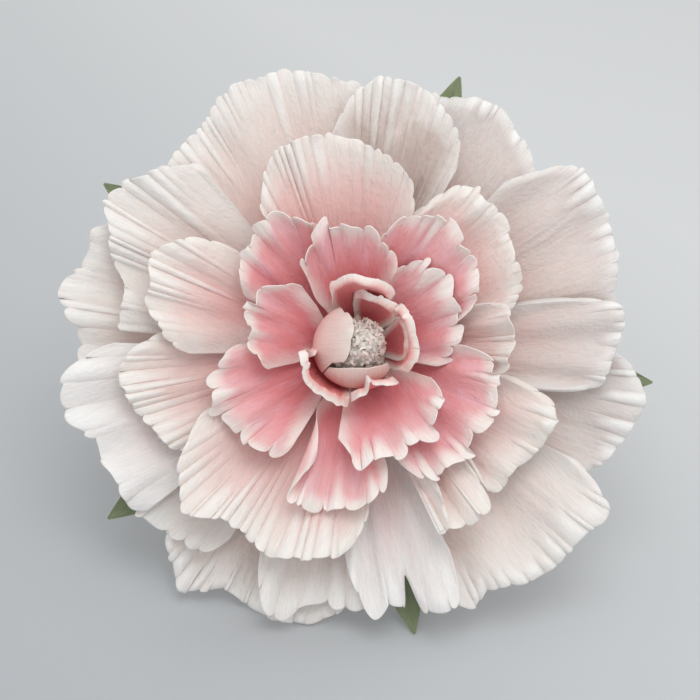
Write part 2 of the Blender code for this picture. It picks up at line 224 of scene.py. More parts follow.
def bent(excess: Grid, length: float, most: Grid) -> tuple[Grid, Grid]:
    """Bends what lies past a line into an arc.

    Args:
        excess: Length of paper past the line, in metres; below 0 it isn't bent.
        length: Length over which the paper turns; past it, it runs on straight.
        most: Its whole turn, in radians, above 0 towards the viewer.

    Returns:
        How far the bent paper reaches past the line, and how far it stands out of its plane.
    """
    share = np.clip(excess / length, 0.0, 1.0)
    whole = np.where(np.abs(most) < LEAST_TURN, LEAST_TURN, most)
    turn = whole * share
    straight = np.maximum(excess - length, 0.0)
    reach = length / whole * np.sin(turn) + straight * np.cos(turn)
    stand = length / whole * (1 - np.cos(turn)) + straight * np.sin(turn)
    return reach + np.minimum(excess, 0.0), stand


@dataclass(frozen=True)
class BloomFrame:
    """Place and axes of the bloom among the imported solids."""

    matrix: Matrix

    @staticmethod
    def corners(node: Object) -> Grid:
        """The different corners of a node's mesh, one row each."""
        found = np.array([node.matrix_world @ vertex.co for vertex in node.data.vertices])
        return np.unique(found.round(CORNER_DECIMALS), axis=0)

    @classmethod
    def read(cls, nodes: dict[str, Object]) -> "BloomFrame":
        """Reads the bloom's axis from the dowel and its roll from a sepal.

        Args:
            nodes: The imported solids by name.

        Returns:
            The frame that the pieces are built in.
        """
        dowel = cls.corners(nodes["stem_dowel"])
        middle = dowel.mean(axis=0)
        axis = np.linalg.svd(dowel - middle)[2][0]
        towards = cls.corners(nodes["stamen_cluster"]).mean(axis=0) - middle
        axis = axis * np.sign(axis @ towards)
        along = (dowel - middle) @ axis
        top = dowel[along > along.max() - DOWEL_RADIUS].mean(axis=0)
        origin = top - axis * DOWEL_DEPTH_IN_CORE
        name, direction = SEPAL_READ
        side = cls.corners(nodes[name]).mean(axis=0) - origin
        side = side - axis * (side @ axis)
        turn = Matrix.Rotation(math.radians(-direction), 3, Vector(axis))
        right = (turn @ Vector(side)).normalized()
        up = Vector(axis).cross(right)
        matrix = Matrix((right, up, Vector(axis))).transposed().to_4x4()
        matrix.translation = Vector(origin)
        return cls(matrix)

    def mesh(self, name: str, points: Grid, faces: Grid, material: Material) -> Mesh:
        """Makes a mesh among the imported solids.

        Args:
            name: Its name.
            points: Its points in the bloom's frame.
            faces: The numbers of each face's corners.
            material: Its material.

        Returns:
            The mesh.
        """
        turn = np.array(self.matrix.to_3x3())
        placed = points.reshape(-1, 3) @ turn.T + np.array(self.matrix.translation)
        mesh = bpy.data.meshes.new(name)
        mesh.from_pydata(placed.tolist(), [], faces.tolist())
        mesh.materials.append(material)
        return mesh


def quads(index: Grid) -> Grid:
    """The faces between neighbours in a grid of corner numbers, one row each."""
    corners = (index[:-1, :-1], index[1:, :-1], index[1:, 1:], index[:-1, 1:])
    return np.stack(corners, axis=-1).reshape(-1, 4)


def mesh_of(bm: bmesh.types.BMesh, name: str) -> Mesh:
    """Makes the mesh that a bmesh holds, and frees the bmesh.

    Args:
        bm: The bmesh.
        name: The mesh's name.

    Returns:
        The mesh.
    """
    mesh = bpy.data.meshes.new(name)
    bm.to_mesh(mesh)
    bm.free()
    return mesh


def in_scene(mesh: Mesh) -> Object:
    """Puts a mesh into the scene, shaded smooth.

    Args:
        mesh: The mesh.

    Returns:
        An object of the mesh's name.
    """
    mesh.shade_smooth()
    obj = bpy.data.objects.new(mesh.name, mesh)
    bpy.context.scene.collection.objects.link(obj)
    return obj


def plain(obj: Object) -> Object:
    """Replaces an object's mesh with what its modifiers make of it, and removes them.

    Args:
        obj: The object.

    Returns:
        The same object.
    """
    graph = bpy.context.evaluated_depsgraph_get()
    finished = bpy.data.meshes.new_from_object(obj.evaluated_get(graph), depsgraph=graph)
    obj.modifiers.clear()
    obj.data = finished
    finished.name = obj.name
    return obj


class Wiring:
    """Short ways to add nodes to a tree and link them."""

    def __init__(self, tree: NodeTree) -> None:
        """Works on one tree."""
        self.tree = tree

    def add(self, kind: str, inputs: dict | None = None, **settings: object) -> Node:
        """Adds a node.

        Args:
            kind: The node's type.
            inputs: Values or sockets by input name or number.
            settings: Properties of the node.

        Returns:
            The node.
        """
        node = self.tree.nodes.new(kind)
        for key, value in settings.items():
            setattr(node, key, value)
        for key, value in (inputs or {}).items():
            socket = node.inputs[key]
            if isinstance(value, Socket):
                self.tree.links.new(value, socket)
            else:
                socket.default_value = value
        return node


class Nodes(Wiring):
    """Wiring of one material, which starts with a Principled shader."""

    def __init__(self, name: str) -> None:
        """Makes the material."""
        self.material = bpy.data.materials.new(name)
        self.material.use_nodes = True
        super().__init__(self.material.node_tree)
        self.shader = self.tree.nodes["Principled BSDF"]

    def link(self, source: Socket, target: str) -> None:
        """Links a socket to one of the shader's inputs."""
        self.tree.links.new(source, self.shader.inputs[target])

    def attribute(self, name: str) -> Socket:
        """The value of a mesh attribute."""
        return self.add("ShaderNodeAttribute", attribute_name=name).outputs["Fac"]

    def math(self, operation: str, first: object, second: object = 0.0) -> Socket:
        """The result of a math node."""
        return self.add("ShaderNodeMath", {0: first, 1: second}, operation=operation).outputs[0]

    def plus(self, base: Socket, value: Socket, share: float) -> Socket:
        """A value with a share of another added to it."""
        return self.math("ADD", base, self.math("MULTIPLY", value, share))

    def mix(self, share: object, first: object, second: object, blend: str = "MIX") -> Socket:
        """Mixes two colours.

        Args:
            share: How much of the second colour there is.
            first: A socket or a plain colour.
            second: Another.
            blend: How they blend.

        Returns:
            The colour's socket.
        """
        inputs = {"Factor": share}
        for key, value in ((MIX_FIRST, first), (MIX_SECOND, second)):
            inputs[key] = (*value, 1.0) if isinstance(value, tuple) else value
        node = self.add("ShaderNodeMix", inputs, data_type="RGBA", blend_type=blend)
        return node.outputs[MIX_RESULT]

    def ramp(self, value: Socket, stops: Stops) -> Socket:
        """Turns a value into a colour.

        Args:
            value: The value.
            stops: The place and colour of each stop.

        Returns:
            The colour's socket.
        """
        node = self.add("ShaderNodeValToRGB", {"Fac": value})
        elements = node.color_ramp.elements
        while len(elements) < len(stops):
            elements.new(MIDDLE)
        for element, (place, colour) in zip(elements, stops):
            element.position = place
            element.color = (*colour, 1.0)
        return node.outputs["Color"]

    def span(self, value: object, source: Pair, target: Pair, kind: str = "LINEAR") -> Socket:
        """Maps a value from one range to another, clamped."""
        inputs = {0: value, 1: source[0], 2: source[1], 3: target[0], 4: target[1]}
        return self.add("ShaderNodeMapRange", inputs, interpolation_type=kind).outputs[0]

    def noise(self, vector: Socket, scale: Colour, detail: float) -> Socket:
        """Adds noise.

        Args:
            vector: Where it is read.
            scale: Its cells in a metre for each axis.
            detail: Its detail.

        Returns:
            The noise's socket, from 0 to 1.
        """
        mapping = self.add("ShaderNodeMapping", {"Vector": vector, "Scale": scale})
        inputs = {"Vector": mapping.outputs[0], "Scale": 1.0, "Detail": detail}
        return self.add("ShaderNodeTexNoise", inputs).outputs["Fac"]

    def finish(self, colour: Socket, height: Socket, grain: Pair, shader: dict) -> None:
        """Ends the material.

        Args:
            colour: Its colour.
            height: Its relief.
            grain: The relief's strength and depth.
            shader: The shader's other inputs by name.
        """
        self.link(colour, "Base Color")
        inputs = {"Height": height, "Strength": grain[0], "Distance": grain[1]}
        self.link(self.add("ShaderNodeBump", inputs).outputs["Normal"], "Normal")
        for name, value in shader.items():
            self.shader.inputs[name].default_value = value


class Pattern(Wiring):
    """Geometry nodes that make what repeats or follows a path, with named inputs."""

    def __init__(self, name: str) -> None:
        """Makes the tree with its geometry input and output."""
        self.group = bpy.data.node_groups.new(name, "GeometryNodeTree")
        super().__init__(self.group)
        self.sockets = self.group.interface
        self.sockets.new_socket("Geometry", in_out="INPUT", socket_type="NodeSocketGeometry")
        self.sockets.new_socket("Geometry", in_out="OUTPUT", socket_type="NodeSocketGeometry")
        self.inlet = self.tree.nodes.new("NodeGroupInput")
        self.outlet = self.tree.nodes.new("NodeGroupOutput")
        self.values: dict[str, object] = {}

    def value(self, name: str, kind: str, setting: object) -> Socket:
        """A named input and the value that it gets.

        Args:
            name: The input's name.
            kind: Its socket type without the leading word, such as Float.
            setting: Its value.

        Returns:
            The socket that gives the value inside the tree.
        """
        socket = self.sockets.new_socket(name, in_out="INPUT", socket_type=f"NodeSocket{kind}")
        self.values[socket.identifier] = setting
        return self.inlet.outputs[name]

    def joined(self, first: Socket, second: Socket) -> Socket:
        """Joins two geometries.

        Args:
            first: A geometry.
            second: Another.

        Returns:
            Both as one.
        """
        node = self.add("GeometryNodeJoinGeometry", {0: first})
        self.tree.links.new(second, node.inputs[0])
        return node.outputs[0]

    def painted(self, geometry: Socket, material: Socket) -> Socket:
        """A geometry with a material."""
        inputs = {"Geometry": geometry, "Material": material}
        return self.add("GeometryNodeSetMaterial", inputs).outputs[0]

    def finish(self, geometry: Socket, obj: Object) -> Object:
        """Ends the tree and replaces an object's mesh with its result.

        Args:
            geometry: The result.
            obj: The object, whose mesh is the tree's input.

        Returns:
            The same object, with plain geometry.
        """
        whole = self.add("GeometryNodeRealizeInstances", {"Geometry": geometry})
        self.tree.links.new(whole.outputs["Geometry"], self.outlet.inputs["Geometry"])
        modifier = obj.modifiers.new(self.group.name, "NODES")
        modifier.node_group = self.group
        for identifier, setting in self.values.items():
            modifier[identifier] = setting
        return plain(obj)


@dataclass(frozen=True)
class Finish:
    """What a piece is made of: a material, made once, and the name of its slot."""

    name: str
    slot: str

    def material(self) -> Material:
        """Makes the material, or finds the one that is made.

        Returns:
            The material.
        """
        made = bpy.data.materials.get(self.name)
        if made:
            return made
        nodes = Nodes(self.name)
        self.paint(nodes, nodes.add("ShaderNodeTexCoord").outputs["Object"])
        return nodes.material

    def paint(self, nodes: Nodes, place: Socket) -> None:
        """Wires the material.

        Args:
            nodes: The material's nodes.
            place: Object coordinates.
        """
        raise NotImplementedError


@dataclass(frozen=True)
class CrepeFinish(Finish):
    """Dyed crepe: its colours from claw to rim, and the grain that runs from the claw outwards.

    The dye fades over the last stretch before the rim, and the cut edge itself is a thin pale line.
    That pale colour is also painted on the flutes' crests as a highlight, and the grooves between the
    wrinkles are darkened with painted shade.
    """

    stops: Stops
    rim: Colour
    rim_fade: float
    cut_edge_and_crest_highlight: Colour
    blotch: Colour
    blotch_share: float = 0.22
    edge_width: float = 0.0012
    grain: float = 0.45
    crumple: float = 5.5
    glow: float = 0.25

    def dye_and_crest_highlight(self, nodes: Nodes, place: Socket, sheet: Socket) -> Socket:
        """The dye: claw to rim, streaks along the grain and soft blotches, with a painted highlight on
        crests.

        Args:
            nodes: The material's nodes.
            place: Object coordinates.
            sheet: The flat map, across and along the grain in metres.

        Returns:
            The colour's socket.
        """
        cloud = nodes.math("MULTIPLY", nodes.noise(place, *CLOUDS), CLOUD_SHARE)
        drift = nodes.plus(cloud, nodes.noise(sheet, *STREAKS), STREAK_SHARE)
        drift = nodes.math("SUBTRACT", drift, MIDDLE)
        colour = nodes.ramp(nodes.plus(nodes.attribute("along"), drift, DRIFT_ALONG), self.stops)
        wash = nodes.span(nodes.noise(sheet, *WASHES), WASH_SPAN, (0.0, self.blotch_share))
        colour = nodes.mix(wash, colour, self.blotch)
        from_rim = nodes.plus(nodes.attribute("to_rim"), drift, self.rim_fade * DRIFT_AT_RIM)
        fade = nodes.span(from_rim, (0.0, self.rim_fade), (1.0, 0.0), "SMOOTHSTEP")
        colour = nodes.mix(fade, colour, self.rim)
        # Painted highlight: the flutes' crests are paled towards the cut edge's colour
        pale = nodes.span(nodes.attribute("crest"), CREST_HIGHLIGHT_SPAN, (0.0, CREST_HIGHLIGHT_SHARE), "SMOOTHSTEP")
        return nodes.mix(pale, colour, self.cut_edge_and_crest_highlight)

    def paint(self, nodes: Nodes, place: Socket) -> None:
        """Wires the dye, the painted shade in the grooves, the pale cut edge, the relief and the glow."""
        sheet = nodes.add("ShaderNodeUVMap", uv_map="sheet").outputs["UV"]
        wrinkle = nodes.noise(sheet, *WRINKLES)
        # Painted shade: where the wrinkles sink into grooves, the colour is darkened
        painted_groove_shade = nodes.span(wrinkle, GROOVE_SPAN, GROOVE_SHADE)
        shade = nodes.add("ShaderNodeCombineColor", {0: painted_groove_shade, 1: painted_groove_shade, 2: painted_groove_shade}).outputs[0]
        colour = nodes.mix(1.0, self.dye_and_crest_highlight(nodes, place, sheet), shade, "MULTIPLY")
        edge = nodes.span(nodes.attribute("to_rim"), (0.0, self.edge_width), (EDGE_SHARE, 0.0))
        colour = nodes.mix(edge, colour, self.cut_edge_and_crest_highlight)
        crush = nodes.math("SUBTRACT", nodes.noise(sheet, *CRUSHES), MIDDLE)
        height = nodes.plus(wrinkle, nodes.noise(sheet, *FINE_GRAIN), FINE_SHARE)
        height = nodes.plus(height, nodes.math("ABSOLUTE", crush), self.crumple)
        shader = CREPE_SHADER | {"Subsurface Weight": self.glow}
        nodes.finish(colour, height, (self.grain, GRAIN_DEPTH), shader)


IVORY = CrepeFinish(
    "dyed_ivory", "ivory_crepe",
    ((0.0, (0.84, 0.52, 0.49)), (0.45, (0.86, 0.62, 0.58)),
     (0.70, (0.85, 0.72, 0.68)), (0.92, (0.85, 0.785, 0.75))),
    rim=(0.88, 0.835, 0.80), rim_fade=0.045, cut_edge_and_crest_highlight=(0.95, 0.92, 0.89), blotch=(0.85, 0.69, 0.65),
)
BLEACHED = CrepeFinish(
    "dyed_bleached", "ivory_crepe",
    ((0.30, (0.82, 0.42, 0.43)), (0.52, (0.86, 0.60, 0.59)),
     (0.70, (0.87, 0.75, 0.73)), (0.88, (0.87, 0.82, 0.80))),
    rim=(0.90, 0.865, 0.845), rim_fade=0.050, cut_edge_and_crest_highlight=(0.96, 0.94, 0.92), blotch=(0.86, 0.75, 0.73),
)
# Painted shadow: ivory darkened along the middle of the petal, where a sepal behind it blocks the light
# shining through
SEPAL_SHADOW_IVORY = CrepeFinish(
    "dyed_veiled", "ivory_crepe",
    ((0.30, (0.64, 0.47, 0.43)), (0.62, (0.56, 0.47, 0.43)),
     (0.76, (0.62, 0.54, 0.50)), (0.84, (0.78, 0.71, 0.68))),
    rim=(0.83, 0.79, 0.755), rim_fade=0.030, cut_edge_and_crest_highlight=(0.93, 0.90, 0.86), blotch=(0.74, 0.66, 0.60),
)
# Painted shade: ivory greyed and darkened for the upper right petals, which stand in shade, with bright
# crest highlights
PAINTED_SHADE_IVORY = CrepeFinish(
    "dyed_dusk", "ivory_crepe",
    ((0.0, (0.84, 0.50, 0.47)), (0.45, (0.79, 0.55, 0.52)),
     (0.70, (0.73, 0.63, 0.60)), (0.92, (0.73, 0.68, 0.66))),
    rim=(0.82, 0.785, 0.76), rim_fade=0.022, cut_edge_and_crest_highlight=(0.97, 0.955, 0.93), blotch=(0.79, 0.65, 0.62),
)
BLUSH = CrepeFinish(
    "dyed_blush", "blush_crepe",
    ((0.0, (0.80, 0.36, 0.36)), (0.42, (0.86, 0.48, 0.47)),
     (0.68, (0.88, 0.62, 0.59)), (0.92, (0.88, 0.75, 0.71))),
    rim=(0.89, 0.82, 0.77), rim_fade=0.040, cut_edge_and_crest_highlight=(0.95, 0.90, 0.86), blotch=(0.86, 0.58, 0.57),
)
ROSE = CrepeFinish(
    "dyed_rose", "rose_crepe",
    ((0.0, (0.72, 0.20, 0.22)), (0.45, (0.83, 0.31, 0.33)),
     (0.75, (0.86, 0.41, 0.43)), (0.97, (0.87, 0.56, 0.56))),
    rim=(0.94, 0.80, 0.76), rim_fade=0.018, cut_edge_and_crest_highlight=(0.97, 0.91, 0.86), blotch=(0.88, 0.58, 0.69),
    blotch_share=0.52,
)
THROAT = CrepeFinish(
    "dyed_throat", "rose_crepe",
    ((0.0, (0.60, 0.12, 0.14)), (0.50, (0.76, 0.22, 0.23)),
     (0.80, (0.82, 0.30, 0.29)), (1.0, (0.86, 0.42, 0.40))),
    rim=(0.93, 0.78, 0.71), rim_fade=0.009, cut_edge_and_crest_highlight=(0.96, 0.89, 0.83), blotch=(0.86, 0.44, 0.43),
    edge_width=0.0090,
)
RING = replace(
    THROAT, name="dyed_ring", slot="blush_crepe",
    stops=(*THROAT.stops[:-1], (1.0, (0.88, 0.46, 0.43))),
    rim=(0.94, 0.82, 0.75), cut_edge_and_crest_highlight=(0.97, 0.91, 0.85),
)
BUD = CrepeFinish(
    "dyed_bud", "blush_crepe",
    ((0.0, (0.72, 0.28, 0.29)), (0.40, (0.84, 0.46, 0.44)),
     (0.62, (0.84, 0.60, 0.56)), (0.95, (0.83, 0.67, 0.62))),
    rim=(0.85, 0.71, 0.66), rim_fade=0.014, cut_edge_and_crest_highlight=(0.92, 0.83, 0.75), blotch=(0.86, 0.60, 0.56),
    grain=0.15,
)
LEAF = CrepeFinish(
    "dyed_leaf", "leaf_crepe",
    stops=((0.0, (0.12, 0.155, 0.085)), (0.5, (0.16, 0.205, 0.11)), (1.0, (0.205, 0.255, 0.145))),
    rim=(0.215, 0.265, 0.155), rim_fade=0.004, cut_edge_and_crest_highlight=(0.30, 0.34, 0.22), blotch=(0.33, 0.36, 0.24),
    blotch_share=0.65, edge_width=0.0008, glow=0.05,
)


@dataclass(frozen=True)
class SpeckledFinish(Finish):
    """Crumpled paper or raw wood: a colour with darker creases of painted shade, grain and specks."""

    colour: Colour
    crease_shade_and_cloud: Colour
    speck: Colour
    scale: float = 260.0
    speck_share: float = 0.0
    roughness: float = 0.85
    grain: float = 0.5
    glow: float = 0.0

    def paint(self, nodes: Nodes, place: Socket) -> None:
        """Wires the painted shade in the creases, the darker clouds, the specks, the relief and the glow.
        """
        grain, cloud, dots = (
            nodes.noise(place, (self.scale * share,) * 3, detail) for share, detail in SPECKLE_NOISE
        )
        # Painted shade: the colour darkens where the grain's relief sinks
        colour = nodes.mix(nodes.span(grain, CREASE_SHADE_SPAN, (1.0, 0.0)), self.colour, self.crease_shade_and_cloud)
        colour = nodes.mix(nodes.span(cloud, CLOUD_SPAN, (0.0, CLOUD_STRENGTH)), colour, self.crease_shade_and_cloud)
        colour = nodes.mix(nodes.span(dots, DOT_SPAN, (0.0, self.speck_share)), colour, self.speck)
        shader = SPECKLE_SHADER | {"Roughness": self.roughness, "Subsurface Weight": self.glow}
        nodes.finish(colour, grain, (self.grain, SPECKLE_DEPTH), shader)


STAMEN = SpeckledFinish(
    "crumpled_cream", "stamen_paper", (1.0, 0.94, 0.85), (0.98, 0.85, 0.75), (0.50, 0.36, 0.30),
    speck_share=0.25, grain=0.2, glow=0.6,
)
POLLEN = SpeckledFinish(
    "dark_specks", "stamen_paper", (0.12, 0.08, 0.07), (0.05, 0.035, 0.03), (0.02, 0.015, 0.01)
)
CORE = SpeckledFinish(
    "wadded_paper", "core_paper", (0.74, 0.60, 0.50), (0.60, 0.46, 0.37), (0.40, 0.30, 0.24)
)
WOOD = SpeckledFinish(
    "turned_wood", "dowel_wood", (0.58, 0.40, 0.23), (0.42, 0.27, 0.14), (0.30, 0.18, 0.09),
    scale=420.0, roughness=0.6, grain=0.2,
)


@dataclass(frozen=True)
class RimStyle:
    """How a free edge is cut, stretched and curled, in metres and degrees.

    The lower the roundness, the blunter the lobes and the narrower the slits between them. Flutes
    run inwards from the lobes, and the lobes turn towards the viewer where the curl is above 0. The
    band is what runs on flat past the curl. Pairs hold the least and the most that a lobe gets, as
    shares of the rim's own size.
    """

    lobe_width: float
    slit: float
    roundness: float
    flute_depth: float
    flute_run: float
    curl: float = 0.0
    curl_spread: float = 20.0
    curl_length: float = 0.012
    tilt: float = 0.0
    band: float = 0.0
    least_lobes: int = 2
    slit_wander: float = 0.38
    slit_depths: Pair = (0.25, 1.0)
    end_slit: float = 0.4
    drop: float = 0.45
    drop_power: float = 0.3
    flute_depths: Pair = (0.20, 1.20)
    flute_runs: Pair = (0.4, 1.5)


class Rim(Enum):
    """The ways in which this bloom's edges are worked."""

    PLAIN = RimStyle(0.020, 0.0010, 0.80, 0.0004, 0.010, curl=8.0, curl_spread=6.0)
    WAVY = RimStyle(
        0.011, 0.0020, 0.80, 0.0016, 0.012, curl=-104.0, curl_spread=12.0, curl_length=0.004, band=0.006
    )
    FINGERED = RimStyle(0.018, 0.0240, 0.26, 0.0022, 0.045, curl=-14.0, curl_spread=52.0, tilt=0.0042)
    SCALLOPED = RimStyle(0.014, 0.0125, 0.34, 0.0020, 0.040, curl=-12.0, curl_spread=44.0, tilt=0.0028)
    FLUTED = RimStyle(0.0112, 0.0075, 0.55, 0.0050, 0.085, curl=-14.0, curl_spread=30.0, curl_length=0.010)
    SILK = RimStyle(0.0210, 0.0120, 0.55, 0.0040, 0.070, curl=-18.0, curl_spread=30.0, curl_length=0.016)
    RUFFLED = RimStyle(0.0125, 0.0065, 0.60, 0.0072, 0.032, curl=-62.0, curl_spread=30.0, curl_length=0.014)


@dataclass(frozen=True)
class Form:
    """How petals bulge on their way out, cup, roll back, wave and lose their corners."""

    belly: float
    cup: float
    reflex: float
    waves: int
    wave_depth: float
    corner: float


BUD_FORM = Form(0.90, 0.0010, 0.0, 1, 0.0010, 0.30)
THROAT_FORM = Form(0.55, 0.0020, 0.0, 2, 0.0012, 0.20)
HEART_FRONT_FORM = Form(0.50, 0.0057, 0.0094, 4, 0.0033, 0.24)
HEART_BACK_FORM = Form(0.50, 0.0071, 0.0116, 4, 0.0041, 0.24)
FRILL_FORM = Form(0.50, 0.0076, 0.0125, 4, 0.0044, 0.24)
CUP_FORM = Form(0.50, 0.0101, 0.0140, 3, 0.0045, 0.26)
GUARD_FORM = Form(0.50, 0.0122, 0.0145, 3, 0.0052, 0.20)
SEPAL_FORM = Form(0.50, 0.0, 0.0, 1, 0.0, 0.0)


@dataclass(frozen=True)
class Fold:
    """A side that turns over from a share of the half width on, to the viewer above 0 degrees.

    The bend is the length over which it turns, all of the side if it is None; the rest is a flat flap.
    """

    start: float
    angle: float
    bend: float | None = None


@dataclass(frozen=True)
class Cleft:
    """A cut in the rim at a place across, with a depth in metres; a point where that is below 0."""

    place: float
    depth: float
    width: float


@dataclass(frozen=True)
class Petal:
    """One petal: its direction, half span and reach as in the solids, and its own rim and folds."""

    direction: float
    half_span: float
    reach: float
    lift: float = 0.0
    rim: Rim | None = None
    left: Fold | None = None
    right: Fold | None = None
    valley: float = 0.0
    reflex: float | None = None
    creases: float = 1.0
    corner: float | None = None
    skew: float = 0.0
    shift: float = 0.0
    arch: float = 0.0
    clefts: tuple[Cleft, ...] = ()
    finish: CrepeFinish | None = None

    @property
    def random(self) -> np.random.Generator:
        """This petal's own source of unevenness."""
        seed = round(self.direction * DIRECTION_SEED + self.half_span * SPAN_SEED)
        return np.random.default_rng(seed)


@dataclass(frozen=True)
class Lobes:
    """The lobes along one rim: which one each column is in, and how it is cut, fluted and curled."""

    bump: Grid
    within: Grid
    cut: Grid
    strength: Grid
    run: Grid
    curl: Grid
    tilt: Grid

    @classmethod
    def cut_from(
        cls, style: RimStyle, width: float, columns: int, random: np.random.Generator
    ) -> tuple[Grid, "Lobes"]:
        """Divides a rim into uneven lobes.

        Args:
            style: How the edge is worked.
            width: The rim's length.
            columns: Number of even columns across it; each slit gets three more.
            random: The source of the unevenness.

        Returns:
            The place across of each column, from -1 to 1, and the lobes with a value for each.
        """
        count = max(style.least_lobes, round(width / style.lobe_width))
        slits = np.linspace(-1.0, 1.0, count + 1)
        slits[1:-1] += random.uniform(-style.slit_wander, style.slit_wander, count - 1) * (2 / count)
        cut_width = 2 * SLIT_HALF_WIDTH / width
        beside = slits[1:-1, None] + np.array((-1.0, 0.0, 1.0)) * cut_width
        even = np.linspace(-1.0, 1.0, columns + 1)
        clear = np.abs(even[:, None] - beside.ravel()).min(axis=1) > cut_width
        clear[[0, -1]] = True
        u = np.sort(np.concatenate((even[clear], beside.ravel())))[:, None]
        lobe = np.interp(u, slits, np.arange(count + 1.0))
        index = np.minimum(np.floor(lobe), count - 1).astype(int)
        bump = np.sin(math.pi * (lobe - index))
        deep = random.uniform(*style.slit_depths, count + 1)
        deep[[0, -1]] = style.end_slit
        cut = style.slit * np.interp(lobe, np.arange(count + 1.0), deep) * (1 - bump**style.roundness)
        dropped = random.uniform(0.0, 1.0, count)[index]
        cut += style.slit * style.drop * dropped * bump**style.drop_power
        strength = random.uniform(*style.flute_depths, count)[index]
        run = random.uniform(*style.flute_runs, count)[index] * style.flute_run
        curl = style.curl + random.uniform(-1.0, 1.0, count) * style.curl_spread
        tilt = (random.uniform(-1.0, 1.0, count) * style.tilt)[index]
        return u, cls(bump, lobe - index, cut, strength, run, np.radians(curl)[index], tilt)


